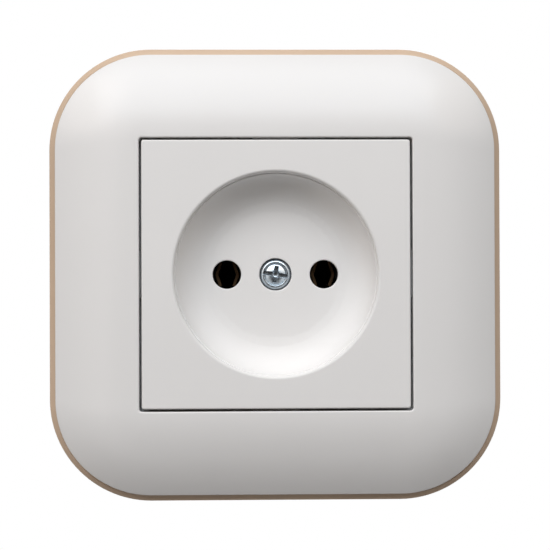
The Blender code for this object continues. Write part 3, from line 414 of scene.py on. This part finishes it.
def noise(nodes, links, source, scale, detail, stretch=(1, 1, 1)):
    """A noise texture in object coordinates, in cells per metre."""
    mapping = nodes.new("ShaderNodeMapping")
    mapping.inputs["Scale"].default_value = stretch
    texture = nodes.new("ShaderNodeTexNoise")
    texture.inputs["Scale"].default_value = scale
    texture.inputs["Detail"].default_value = detail
    links.new(source.outputs["Object"], mapping.inputs["Vector"])
    links.new(mapping.outputs["Vector"], texture.inputs["Vector"])
    return texture.outputs["Fac"]


def spread(nodes, links, value, low=0, high=1):
    """Spreads a noise value over a range."""
    node = nodes.new("ShaderNodeMapRange")
    node.inputs["From Min"].default_value = NOISE_LOW
    node.inputs["From Max"].default_value = NOISE_HIGH
    node.inputs["To Min"].default_value = low
    node.inputs["To Max"].default_value = high
    links.new(value, node.inputs["Value"])
    return node.outputs["Result"]


def blend_colours(nodes, links, factor, first, second):
    node = nodes.new("ShaderNodeMix")
    node.data_type = "RGBA"
    node.inputs["A"].default_value = (*first, 1)
    node.inputs["B"].default_value = (*second, 1)
    links.new(factor, node.inputs["Factor"])
    return node.outputs["Result"]


def add_bump(nodes, links, shader, height, distance, before=None):
    """Adds bumps of a depth in metres to a shader, on top of the bumps before them."""
    node = nodes.new("ShaderNodeBump")
    node.inputs["Strength"].default_value = 1.0
    node.inputs["Distance"].default_value = distance
    links.new(height, node.inputs["Height"])
    if before:
        links.new(before, node.inputs["Normal"])
    links.new(node.outputs["Normal"], shader.inputs["Normal"])
    return node.outputs["Normal"]


def moulded_plastic(name, colour, shade, roughness, grain, grain_depth, wave_depth):
    """Moulded plastic: a faint drift of colour, uneven gloss, a fine grain and slight waves."""
    made, nodes, links = new_material(name)
    shader = nodes["Principled BSDF"]
    place = nodes.new("ShaderNodeTexCoord")
    drift = spread(nodes, links, noise(nodes, links, place, DRIFT_SCALE, 3))
    links.new(blend_colours(nodes, links, drift, colour, shade), shader.inputs["Base Color"])
    patches = noise(nodes, links, place, PATCH_SCALE, 5)
    links.new(spread(nodes, links, patches, roughness[0], roughness[1]), shader.inputs["Roughness"])
    waves = add_bump(nodes, links, shader, noise(nodes, links, place, WAVE_SCALE, 1), wave_depth)
    add_bump(nodes, links, shader, noise(nodes, links, place, grain, 2), grain_depth, waves)
    shader.inputs["IOR"].default_value = PLASTIC_IOR
    shader.inputs["Specular IOR Level"].default_value = PLASTIC_SPECULAR
    return made


def plated_metal(name, colour, shade, roughness, pit_depth):
    """Plated or rolled metal: cloudy colour, streaks of gloss, fine pits and tooling marks."""
    made, nodes, links = new_material(name)
    shader = nodes["Principled BSDF"]
    shader.inputs["Metallic"].default_value = 1.0
    place = nodes.new("ShaderNodeTexCoord")
    clouds = spread(nodes, links, noise(nodes, links, place, CLOUD_SCALE, 6))
    links.new(blend_colours(nodes, links, clouds, colour, shade), shader.inputs["Base Color"])
    streaks = noise(nodes, links, place, STREAK_SCALE, 4, STREAK_STRETCH)
    links.new(spread(nodes, links, streaks, roughness[0], roughness[1]), shader.inputs["Roughness"])
    pits = add_bump(nodes, links, shader, noise(nodes, links, place, PIT_SCALE, 4), pit_depth)
    add_bump(nodes, links, shader, streaks, pit_depth / 2, pits)
    return made


WHITE_GLOSS = moulded_plastic(
    "white_gloss_finish", (0.77, 0.765, 0.76), (0.76, 0.755, 0.75), (0.22, 0.25), 2500, 0.4e-6, 3e-6
)
WHITE_SATIN = moulded_plastic(
    "white_satin_finish", (0.77, 0.765, 0.76), (0.757, 0.752, 0.747), (0.60, 0.70), 3500, 1.5e-6, 3e-6
)
TAN = moulded_plastic(
    "tan_finish", (0.60, 0.455, 0.335), (0.56, 0.42, 0.305), (0.38, 0.5), 3000, 2e-6, 4e-6
)
DARK = moulded_plastic(
    "dark_plastic_finish", (0.032, 0.032, 0.034), (0.022, 0.022, 0.024), (0.4, 0.6), 2500, 5e-6, 8e-6
)
ZINC = plated_metal("zinc_steel_finish", (0.52, 0.58, 0.63), (0.38, 0.43, 0.47), (0.2, 0.38), 4e-6)
SPRING = plated_metal("spring_steel_finish", (0.45, 0.46, 0.48), (0.36, 0.36, 0.38), (0.28, 0.42), 1e-6)
# Brass, dull and tarnished, and darkened much further as painted shade, so that the contacts deep in the pin
# holes read black; the cover nut shares it.
SHADE_DARKENED_BRASS = plated_metal("shade_darkened_brass_finish", (0.13, 0.08, 0.045), (0.09, 0.055, 0.03), (0.4, 0.55), 1.5e-6)


# White frame


def frame_share(half):
    """How far a square of that half side lies from the opening to the rim, as a share."""
    return max(0.0, (half - OPENING_HALF) / (FRAME_HALF - OPENING_HALF))


def frame_height(half):
    return FRAME_CREST - FRAME_BOW * frame_share(half) ** FRAME_BOW_POWER


def frame_corner(half):
    return FRAME_OPENING_CORNER + (FRAME_CORNER - FRAME_OPENING_CORNER) * frame_share(half)


def bow(start, end, steps, drop=0.0):
    """Points on the frame's bowed face, or drop below it, as corners of a section."""
    halves = [start + (end - start) * i / steps for i in range(steps + 1)]
    return [(half, frame_height(half) - drop, 0) for half in halves]


def build_white_frame():
    ledge, skirt = OPENING_HALF - LEDGE_WIDTH, OPENING_HALF + FRAME_SKIRT_WALL
    rim_inside = FRAME_HALF - FRAME_WALL
    while frame_height(rim_inside) - FRAME_WALL < FRAME_SEAT:
        rim_inside -= FRAME_WALL / 10
    corners = [(OPENING_HALF, LEDGE_TOP, 0), (OPENING_HALF, frame_height(OPENING_HALF), FRAME_EDGE_ROUND)]
    corners += bow(OPENING_HALF + 2 * FRAME_EDGE_ROUND, FRAME_HALF - FRAME_RIM_FLAT, BOW_STEPS)
    corners.append((FRAME_HALF, frame_height(FRAME_HALF), FRAME_RIM_EDGE))
    corners.append((FRAME_HALF, FRAME_SEAT, FRAME_FOOT_EDGE))
    corners.append((rim_inside, FRAME_SEAT, 0))
    corners += bow(rim_inside, skirt, BOW_STEPS // 4, FRAME_WALL)[1:]
    corners += [(skirt, FRAME_SEAT, PLASTIC_EDGE), (ledge, FRAME_SEAT, PLASTIC_EDGE)]
    corners.append((ledge, LEDGE_TOP, LEDGE_EDGE))
    bm = framed_loft(rounded(corners), frame_corner)

    details = bmesh.new()
    clip_outside = CLIP_INSIDE + CLIP_THICKNESS
    hook_top = BASE_TOP - BASE_WEB - SEAT_GAP
    hook_foot = hook_top - CLIP_HOOK_HEIGHT
    clip = rounded(
        [
            (CLIP_INSIDE, hook_foot, PLASTIC_EDGE),
            (clip_outside, hook_foot, CLIP_EDGE),
            (clip_outside + CLIP_HOOK, hook_top, CLIP_EDGE),
            (clip_outside, hook_top, 0),
            (clip_outside, frame_height(clip_outside) - FRAME_WALL / 2, 0),
            (CLIP_INSIDE, frame_height(CLIP_INSIDE) - FRAME_WALL / 2, 0),
        ],
        steps=FINE_ROUND_STEPS,
    )
    rib_inside, rib_outside = OPENING_HALF - RIB_HEIGHT, OPENING_HALF + FRAME_SKIRT_WALL / 2
    rib_foot, rib_top = LEDGE_TOP - LEDGE_HEIGHT / 2, FRAME_CREST - RIB_TOP_DEPTH
    rib = rounded(
        [
            (rib_inside, rib_foot, 0),
            (rib_outside, rib_foot, 0),
            (rib_outside, rib_top, 0),
            (rib_inside, rib_top, RIB_EDGE),
        ],
        steps=FINE_ROUND_STEPS,
    )
    for quarter in range(4):
        spin = Matrix.Rotation(quarter * math.pi / 2, 4, "Z")
        for outline, width, offset in (
            (rib, RIB_LENGTH, 0),
            (clip, CLIP_WIDTH, CLIP_SPACING / 2),
            (clip, CLIP_WIDTH, -CLIP_SPACING / 2),
        ):
            place = spin @ Matrix.Translation((0, offset, 0)) @ Matrix.Rotation(math.radians(90), 4, "X")
            prism(details, outline, -width / 2, width / 2, place)
    add_piece("white_frame", combine(bm, details, "UNION"), WHITE_GLOSS, "outer_frame")


# Tan frame under it


def build_tan_frame():
    skirt_inside = BASE_HALF - BASE_WALL
    web_bottom = BASE_TOP - BASE_WEB
    corners = [
        (BASE_HALF, 0, PLASTIC_EDGE),
        (BASE_HALF, BASE_TOP - BASE_RIM_DROP, BASE_RIM_EDGE),
        (FRAME_HALF, BASE_TOP, INNER_EDGE),
        (BASE_OPENING_HALF, BASE_TOP, PLASTIC_EDGE),
        (BASE_OPENING_HALF, web_bottom, PLASTIC_EDGE),
        (skirt_inside, web_bottom, INNER_EDGE),
        (skirt_inside, 0, PLASTIC_EDGE),
    ]

    def corner_radius(half):
        share = (half - BASE_OPENING_HALF) / (BASE_HALF - BASE_OPENING_HALF)
        return BASE_OPENING_CORNER + (BASE_CORNER - BASE_OPENING_CORNER) * share

    bm = framed_loft(rounded(corners), corner_radius)
    windows = bmesh.new()
    middle = CLIP_INSIDE + CLIP_THICKNESS / 2
    x, y = CLIP_THICKNESS / 2 + CLIP_ROOM, CLIP_WIDTH / 2 + CLIP_ROOM
    corners = [(a * x, b * y, WINDOW_CORNER) for a, b in ((-1, -1), (1, -1), (1, 1), (-1, 1))]
    window = rounded(corners, steps=FINE_ROUND_STEPS)
    for quarter in range(4):
        for offset in (-CLIP_SPACING / 2, CLIP_SPACING / 2):
            place = Matrix.Rotation(quarter * math.pi / 2, 4, "Z") @ Matrix.Translation((middle, offset, 0))
            prism(windows, window, web_bottom - CUT_PAST, BASE_TOP + CUT_PAST, place)
    add_piece("tan_frame", combine(bm, windows, "DIFFERENCE"), TAN, "base_frame")


# Cover plate with the dished recess


def bowl_height(radius, offset=0.0):
    """Height of the recess's floor and the bend of its wall, or of a surface behind them."""
    if radius <= FLOOR_RADIUS:
        return FLOOR - offset
    drop = math.sqrt((WALL_BEND + offset) ** 2 - (radius - FLOOR_RADIUS) ** 2)
    return FLOOR + WALL_BEND - drop


def bowl_wall(offset, bottom_radius, steps):
    """Points of the recess's wall from a radius in its bend up to the foot of the lip."""
    bend = WALL_BEND + offset
    start = math.asin((bottom_radius - FLOOR_RADIUS) / bend)
    centre = (FLOOR_RADIUS, FLOOR + WALL_BEND)
    points = arc(centre, bend, start - math.pi / 2, WALL_ANGLE - math.pi / 2, steps)
    return points + [(LIP_RADIUS + offset / math.sin(WALL_ANGLE), LIP_FOOT)]


def add_disc(bm, edge, holes, offset):
    """Adds the middle of the recess's surface as a fine net of triangles, with round holes left open.

    holes are (x, radius, width of the rounded edge). The net has two rings of points round each hole.
    """
    points = list(edge)
    loops = [list(range(len(edge)))]
    for x, radius, edge_round in holes:
        loop = circle(radius + edge_round, HOLE_STEPS, (x, 0))
        loops.append(list(range(len(points), len(points) + len(loop))))
        points += loop
    edges = [(loop[i], loop[(i + 1) % len(loop)]) for loop in loops for i in range(len(loop))]

    def clear(point, room):
        """Whether a point leaves some room to the edge of the disc and to every hole."""
        if point.length > DISC_RADIUS - room:
            return False
        for x, radius, edge_round in holes:
            if (point - Vector((x, 0))).length <= radius + edge_round + room:
                return False
        return True

    for x, radius, edge_round in holes:
        for step in NET_RINGS:
            ring_points = circle(radius + edge_round + step, HOLE_STEPS, (x, 0), math.pi / HOLE_STEPS)
            points += [p for p in ring_points if clear(p, NET_RING_ROOM)]
    rows = int(DISC_RADIUS / NET_SPACING) + 1
    for row in range(-rows, rows + 1):
        for column in range(-rows, rows + 1):
            point = Vector(((column + row % 2 / 2) * NET_SPACING, row * NET_SPACING * NET_ROW_RISE))
            if clear(point, NET_ROW_ROOM):
                points.append(point)
    made = delaunay_2d_cdt(points, edges, [], 0, NET_PRECISION)
    verts = [bm.verts.new((p.x, p.y, bowl_height(p.length, offset))) for p in made[0]]
    for face in made[2]:
        middle = sum((made[0][i] for i in face), Vector((0, 0))) / len(face)
        if clear(middle, 0):
            bm.faces.new([verts[i] for i in face])


def add_hole(bm, x, radius, edge_round, bottom):
    """Adds the rounded edge of a hole in the recess's floor and the hole's wall down to its bottom."""
    start = circle(radius + edge_round, HOLE_STEPS, (x, 0))
    heights = [bowl_height(point.length) for point in start]
    rings = []
    for i in range(ROUND_STEPS + 1):
        angle = math.pi / 2 * i / ROUND_STEPS
        points = circle(radius + edge_round * (1 - math.sin(angle)), HOLE_STEPS, (x, 0))
        drop = edge_round * (1 - math.cos(angle))
        rings.append([bm.verts.new((p.x, p.y, h - drop)) for p, h in zip(points, heights)])
    lowest = circle(radius, HOLE_STEPS, (x, 0))
    rings.append([bm.verts.new((p.x, p.y, bottom(p))) for p in lowest])
    bridge(bm, rings)


def build_cover():
    bm = bmesh.new()
    side_steps = RECESS_STEPS // 4 - COVER_CORNER_STEPS

    def square(half, radius):
        """Points round a square of the cover, from the middle of its right side."""
        points = rounded_square(half, radius, COVER_CORNER_STEPS, side_steps)
        start = side_steps // 2
        return points[start:] + points[:start]

    rim = (RECESS_RADIUS + RIM_ROUND, COVER_FACE - RIM_ROUND)
    wall = bowl_wall(0.0, DISC_RADIUS, RECESS_ARC_STEPS)
    lip = rounded(
        [
            (*wall[-2], 0),
            (*wall[-1], LIP_FOOT_EDGE),
            (RECESS_RADIUS - LIP_DRAFT, LIP_FOOT, LIP_EDGE),
            (RECESS_RADIUS, rim[1], 0),
        ],
        closed=False,
        steps=FINE_ROUND_STEPS,
    )
    profile = wall[:-2] + lip[:-1] + arc(rim, RIM_ROUND, math.pi, math.pi / 2, RECESS_RIM_STEPS)
    rings = [ring(bm, circle(r, RECESS_STEPS), z) for r, z in profile]

    side = COVER_HALF - COVER_EDGE_ROUND
    rim_points = circle(RECESS_RADIUS + RIM_ROUND, RECESS_STEPS)
    side_points = square(side, COVER_CORNER - COVER_EDGE_ROUND)
    for share in COVER_FACE_RINGS:
        between = [p * (1 - share) + q * share for p, q in zip(rim_points, side_points)]
        rings.append(ring(bm, between, COVER_FACE))
    edge = (side, COVER_FACE - COVER_EDGE_ROUND)
    for half, height in arc(edge, COVER_EDGE_ROUND, math.pi / 2, 0, ROUND_STEPS)[1:]:
        rings.append(ring(bm, square(half, COVER_CORNER - COVER_HALF + half), height))
    inside = COVER_HALF - COVER_SKIRT_WALL
    underside = COVER_FACE - COVER_PLATE
    skirt = rounded(
        [
            (COVER_HALF, edge[1], 0),
            (COVER_HALF, COVER_SKIRT_END, PLASTIC_EDGE),
            (inside, COVER_SKIRT_END, PLASTIC_EDGE),
            (inside, underside, INNER_EDGE),
            (inside - COVER_UNDERSIDE_STEP, underside, 0),
        ],
        closed=False,
        steps=FINE_ROUND_STEPS,
    )
    for half, height in skirt[1:]:
        rings.append(ring(bm, square(half, COVER_CORNER), height))
    shell = bowl_wall(SHELL, DISC_RADIUS, RECESS_SHELL_STEPS)
    shell[-1] = (shell[-1][0] - (LIP_FOOT - underside) / math.tan(WALL_ANGLE), underside)
    for r, z in reversed(shell):
        rings.append(ring(bm, circle(r, RECESS_STEPS), z))
    bridge(bm, rings)

    edge_points = circle(DISC_RADIUS, RECESS_STEPS)
    pins = [(-PIN_X, PIN_HOLE, HOLE_EDGE_ROUND), (PIN_X, PIN_HOLE, HOLE_EDGE_ROUND)]
    add_disc(bm, edge_points, [*pins, (0, SCREW_HOLE, HOLE_EDGE_ROUND)], 0.0)
    under_pins = [(x, radius, 0.0) for x, radius, _ in pins]
    add_disc(bm, edge_points, [*under_pins, (0, BOSS_RADIUS, 0.0)], SHELL)
    for x, radius, edge_round in pins:
        add_hole(bm, x, radius, edge_round, lambda p: bowl_height(p.length, SHELL))
    add_hole(bm, 0, SCREW_HOLE, HOLE_EDGE_ROUND, lambda p: SCREW_HOLE_FLOOR)
    boss = [
        (SCREW_HOLE, SCREW_HOLE_FLOOR),
        (SHANK_HOLE, SCREW_HOLE_FLOOR),
        (SHANK_HOLE, BOSS_END),
        (BOSS_RADIUS, BOSS_END),
        (BOSS_RADIUS, FLOOR - SHELL),
    ]
    bridge(bm, [ring(bm, circle(r, HOLE_STEPS), z) for r, z in boss])
    loose = [v for v in bm.verts if not v.link_faces]
    bmesh.ops.delete(bm, geom=loose, context="VERTS")
    add_piece("cover_plate", bm, WHITE_SATIN, "socket_cover", smooth_angle=COVER_SMOOTH_ANGLE)


# Screws with cut threads and slots


def add_thread(bm, radius, depth, pitch, low, high):
    """Adds a threaded shank as one net, plain at its head end and chamfered at its tip."""
    rows = max(2, round((high - low) / pitch * THREAD_ROWS))
    rings = []
    for row in range(rows + 1):
        z = low + (high - low) * row / rows
        fade = max(0.0, min(1.0, (high - z) / pitch, (z - low) / pitch + THREAD_START))
        chamfer = max(0.0, 1 - (z - low) / (2 * depth)) * depth
        verts = []
        for i in range(SCREW_STEPS):
            phase = (z / pitch - i / SCREW_STEPS) % 1.0
            flank = THREAD_SLOPE * (1 - abs(2 * phase - 1)) - THREAD_CREST
            r = radius - depth * min(1.0, max(0.0, flank)) * fade - chamfer
            angle = 2 * math.pi * i / SCREW_STEPS
            verts.append(bm.verts.new((r * math.cos(angle), r * math.sin(angle), z)))
        rings.append(verts)
    bridge(bm, rings)
    return rings


def screw_body(crown, shank, thread):
    """A screw whose seat is at height 0. crown is its head's profile from the axis to the seat's edge."""
    bm = bmesh.new()
    radius, length = shank
    depth, pitch, plain = thread
    rings = [ring(bm, circle(r, SCREW_STEPS), z) for r, z in crown[1:]]
    rings.append(ring(bm, circle(radius, SCREW_STEPS), 0))
    rings.append(ring(bm, circle(radius, SCREW_STEPS), -plain))
    bridge(bm, rings)
    close_ring(bm, rings[0], crown[0][1])
    threaded = add_thread(bm, radius, depth, pitch, -length, -plain)
    close_ring(bm, threaded[0], -length)
    bmesh.ops.remove_doubles(bm, verts=bm.verts, dist=MERGE_DISTANCE)
    return bm


def pan_crown(radius, height):
    """Profile of a pan head: a slightly domed face, a round shoulder and an upright side."""
    corners = [(radius * x, height * z, radius * edge) for x, z, edge in PAN_HEAD]
    return [tuple(p) for p in rounded(corners, closed=False, steps=HEAD_STEPS)]


def slot_cutter(reach, width, bottom, top, draft, turn=0.0):
    """A cutter for a straight slot, turned about the axis, whose walls lean outwards by draft."""
    bm = bmesh.new()
    rings = []
    for grow, z in ((0, bottom), (draft, top)):
        x, y = reach + grow, width / 2 + grow
        corners = [(a * x, b * y, SLOT_CORNER) for a, b in ((1, -1), (1, 1), (-1, 1), (-1, -1))]
        rings.append(ring(bm, rounded(corners, steps=FINE_ROUND_STEPS), z))
    bridge(bm, rings)
    for end in rings:
        bm.faces.new(end)
    bmesh.ops.rotate(bm, verts=bm.verts, matrix=Matrix.Rotation(turn, 3, "Z"))
    return bm


def add_screw(name, node, bm, place, body="socket"):
    """Moves a screw to its place and adds it as a piece."""
    bmesh.ops.transform(bm, matrix=place, verts=bm.verts)
    add_piece(name, bm, ZINC, node, body, smooth_angle=SCREW_SMOOTH_ANGLE)


def build_small_screw(node, sizes, place, slot_turn, body="socket"):
    """A slotted screw with a pan head."""
    (radius, height), shank, thread = sizes
    bm = screw_body(pan_crown(radius, height), shank, thread)
    reach, bottom, top = radius * SLOT_REACH_SHARE, height * SLOT_BOTTOM_SHARE, height + CUT_PAST
    cutter = slot_cutter(reach, SLOT_WIDTH, bottom, top, SLOT_DRAFT, slot_turn)
    add_screw(f"{node}_threaded", node, combine(bm, cutter, "DIFFERENCE"), place, body)


def build_cover_screw():
    """The screw in the recess: a domed head in a raised ring, with a slot and a cross."""
    shares = [i / DOME_STEPS for i in range(DOME_STEPS + 1)]
    dome = [(DOME_RADIUS * share, HEAD_TOP - DOME_DROP * share**2) for share in shares]
    corners = [(*dome[-1], 0)] + [(r, HEAD_TOP - drop, edge) for r, drop, edge in HEAD_RING]
    corners.append((COVER_SCREW_RADIUS, 0, HEAD_FOOT_EDGE))
    corners.append((COVER_SCREW_RADIUS * SEAT_SHARE, 0, 0))
    outside = rounded(corners, closed=False, steps=HEAD_STEPS)
    crown = dome + [tuple(p) for p in outside[1:]]
    bm = screw_body(crown, COVER_SCREW_SHANK, COVER_SCREW_THREAD)
    bm = combine(bm, slot_cutter(*COVER_SLOT), "DIFFERENCE")
    bm = combine(bm, slot_cutter(*COVER_CROSS, math.radians(90)), "DIFFERENCE")
    cone = bmesh.new()
    turned(cone, COVER_CONE, CONE_STEPS)
    bm = combine(bm, cone, "DIFFERENCE")
    place = Matrix.Translation((0, 0, COVER_SCREW_SEAT)) @ Matrix.Rotation(COVER_SCREW_TURN, 4, "Z")
    add_screw("cover_screw_head", "cover_screw", bm, place)


def build_screws():
    build_cover_screw()
    to_top = Matrix.Rotation(math.radians(-90), 4, "X")
    to_back = Matrix.Rotation(math.pi, 4, "X")
    for side, sign in (("left", -1), ("right", 1)):
        place = Matrix.Translation((sign * CLAW_SCREW_X, 0, PLATE_SEAT))
        body = f"{side}_claw_screw"
        build_small_screw(f"claw_screw_{side}", CLAW_SCREW, place, CLAW_SLOT_TURN, body)
        place = Matrix.Translation((sign * PIN_X, TERMINAL_SEAT_Y, TERMINAL_SEAT_Z)) @ to_top
        build_small_screw(f"terminal_screw_{side}", TERMINAL_SCREW, place, sign * TERMINAL_SLOT_TURN)
    for end in ("lower", "upper"):
        node = f"plate_screw_{end}"
        place = Matrix.Translation((0, height_of(node), PLATE_SEAT))
        build_small_screw(node, PLATE_SCREW, place, PLATE_SLOT_TURN)
        node = f"rear_screw_{end}"
        place = Matrix.Translation((0, height_of(node), REAR_SEAT)) @ to_back
        build_small_screw(node, REAR_SCREW, place, REAR_SLOT_TURN)


# CAD nodes that stay: a finish and softened edges

WELD_DISTANCE = 1e-6
BEVEL_ANGLE = math.radians(38)
DRESSED_NODES = (
    ("mechanism_base", DARK, 0.25 * MM),
    ("rear_cover", DARK, 0.25 * MM),
    ("mounting_plate", ZINC, 0.12 * MM),
    ("cover_nut", SHADE_DARKENED_BRASS, 0.15 * MM),
)
DRESSED_PAIRS = (
    # The contacts take the brass that is darkened as painted shade for the deep pin holes.
    ("contact", SHADE_DARKENED_BRASS, 0.08 * MM),
    ("contact_spring", SPRING, 0.06 * MM),
    ("terminal_clamp", ZINC, 0.1 * MM),
    ("claw", ZINC, 0.12 * MM),
)


def dress(node, finish, edge_round):
    obj = NODES[node]
    obj.data.materials.clear()
    obj.data.materials.append(finish)
    weld = obj.modifiers.new("weld", "WELD")
    weld.merge_threshold = WELD_DISTANCE
    bevel = obj.modifiers.new("soft_edges", "BEVEL")
    bevel.width = edge_round
    bevel.segments = 2
    bevel.limit_method = "ANGLE"
    bevel.angle_limit = BEVEL_ANGLE
    bevel.harden_normals = True


def dress_nodes():
    for node, finish, edge_round in DRESSED_NODES:
        dress(node, finish, edge_round)
    for side in ("left", "right"):
        for node, finish, edge_round in DRESSED_PAIRS:
            dress(f"{node}_{side}", finish, edge_round)


# Floor, light and camera

FLOOR_HALF = 0.55
FLOOR_DROP = 0.55

# The card behind the camera, in wall coordinates
CARD_RADIUS = 0.19
CARD_SPOT = (0, -0.07, 0.30)
CARD_STEPS = 48

# Name, spot in wall coordinates, width, depth, power and colour of each softbox
LAMPS = (
    ("softbox_above", (-0.070, 0.573, 0.554), 1.0, 0.55, 6.75, (0.87, 0.935, 1.0)),
    ("softbox_left", (-0.514, 0.433, 0.433), 0.5, 0.5, 2.1, (1.0, 0.86, 0.75)),
    ("softbox_right", (0.514, 0.433, 0.433), 0.5, 0.5, 1.45, (1.0, 0.84, 0.70)),
    ("softbox_front", (-0.459, 0.091, 0.649), 0.6, 0.6, 0.42, (1.0, 0.80, 0.62)),
    ("softbox_behind", (0.25, 0.45, -0.62), 0.6, 0.6, 2.0, (1.0, 1.0, 1.0)),
)

# Camera: its lens, and how the wall is turned and placed in its view
FOCAL_PIXELS = 1370
PHOTO_PIXELS = 550
SENSOR_MM = 36
VIEW_TURN = Euler((math.radians(-0.448), math.radians(1.205), math.radians(0.19)), "XYZ")
VIEW_PLACE = Vector((0.049, 0.095, -269.74)) * MM


def plain_finish(name, colour, shade, roughness):
    """A plain finish with a faint drift of colour, for what stands round the socket."""
    made, nodes, links = new_material(name)
    shader = nodes["Principled BSDF"]
    place = nodes.new("ShaderNodeTexCoord")
    drift = spread(nodes, links, noise(nodes, links, place, STAGE_SCALE, 3))
    links.new(blend_colours(nodes, links, drift, colour, shade), shader.inputs["Base Color"])
    shader.inputs["Roughness"].default_value = roughness
    return made


def stage_object(name, bm, finish):
    mesh = bpy.data.meshes.new(name)
    bm.to_mesh(mesh)
    bm.free()
    mesh.materials.append(finish)
    obj = bpy.data.objects.new(name, mesh)
    bpy.context.scene.collection.objects.link(obj)
    return obj


def build_floor():
    """A pale floor well below the socket."""
    bm = bmesh.new()
    bmesh.ops.create_grid(bm, x_segments=8, y_segments=8, size=FLOOR_HALF)
    finish = plain_finish("pale_floor", (0.84, 0.84, 0.84), (0.80, 0.80, 0.80), 0.6)
    floor = stage_object("studio_floor", bm, finish)
    floor.location = (0, 0, -FLOOR_DROP)


def build_camera_card():
    """A dark card behind the camera, as a studio has, which only reflections show."""
    bm = bmesh.new()
    bmesh.ops.create_circle(bm, cap_ends=True, segments=CARD_STEPS, radius=CARD_RADIUS)
    finish = plain_finish("dark_card", (0.05, 0.035, 0.025), (0.03, 0.022, 0.018), 0.9)
    card = stage_object("camera_card", bm, finish)
    card.matrix_world = UPRIGHT @ Matrix.Translation(CARD_SPOT)
    card.visible_camera = card.visible_diffuse = card.visible_shadow = card.visible_transmission = False


def add_lamp(name, spot, width, depth, power, colour):
    """A softbox at a spot in wall coordinates that faces the socket. Its power is in watts."""
    data = bpy.data.lights.new(name, "AREA")
    data.shape = "RECTANGLE"
    data.size, data.size_y = width, depth
    data.energy = power
    data.color = colour
    lamp = bpy.data.objects.new(name, data)
    bpy.context.scene.collection.objects.link(lamp)
    place = UPRIGHT @ Vector(spot)
    facing = (-place).to_track_quat("-Z", "Y").to_matrix().to_4x4()
    lamp.matrix_world = Matrix.Translation(place) @ facing


def build_light():
    """Softboxes, and a world that lights nothing: the camera, gloss and glass see it as plain white."""
    world = bpy.data.worlds.new("studio")
    bpy.context.scene.world = world
    world.use_nodes = True
    nodes, links = world.node_tree.nodes, world.node_tree.links
    room = nodes["Background"]
    room.inputs["Color"].default_value = (1, 1, 1, 1)
    room.inputs["Strength"].default_value = 0.0
    backdrop = nodes.new("ShaderNodeBackground")
    backdrop.inputs["Color"].default_value = (1, 1, 1, 1)
    backdrop.inputs["Strength"].default_value = 1.0
    path = nodes.new("ShaderNodeLightPath")
    seen = nodes.new("ShaderNodeMath")
    seen.operation = "MAXIMUM"
    either = nodes.new("ShaderNodeMath")
    either.operation = "MAXIMUM"
    mix = nodes.new("ShaderNodeMixShader")
    links.new(path.outputs["Is Camera Ray"], seen.inputs[0])
    links.new(path.outputs["Is Glossy Ray"], seen.inputs[1])
    links.new(seen.outputs[0], either.inputs[0])
    links.new(path.outputs["Is Transmission Ray"], either.inputs[1])
    links.new(either.outputs[0], mix.inputs["Fac"])
    links.new(room.outputs[0], mix.inputs[1])
    links.new(backdrop.outputs[0], mix.inputs[2])
    links.new(mix.outputs[0], nodes["World Output"].inputs["Surface"])
    for lamp in LAMPS:
        add_lamp(*lamp)


def build_camera():
    data = bpy.data.cameras.new("camera")
    data.lens = FOCAL_PIXELS / PHOTO_PIXELS * SENSOR_MM
    data.sensor_width = SENSOR_MM
    camera = bpy.data.objects.new("camera", data)
    bpy.context.scene.collection.objects.link(camera)
    seen_from = (Matrix.Translation(VIEW_PLACE) @ VIEW_TURN.to_matrix().to_4x4()).inverted()
    camera.matrix_world = UPRIGHT @ seen_from
    bpy.context.scene.camera = camera


build_white_frame()
build_tan_frame()
build_cover()
build_screws()
dress_nodes()
build_floor()
build_camera_card()
build_light()
build_camera()
bpy.context.scene.view_settings.view_transform = "Standard"
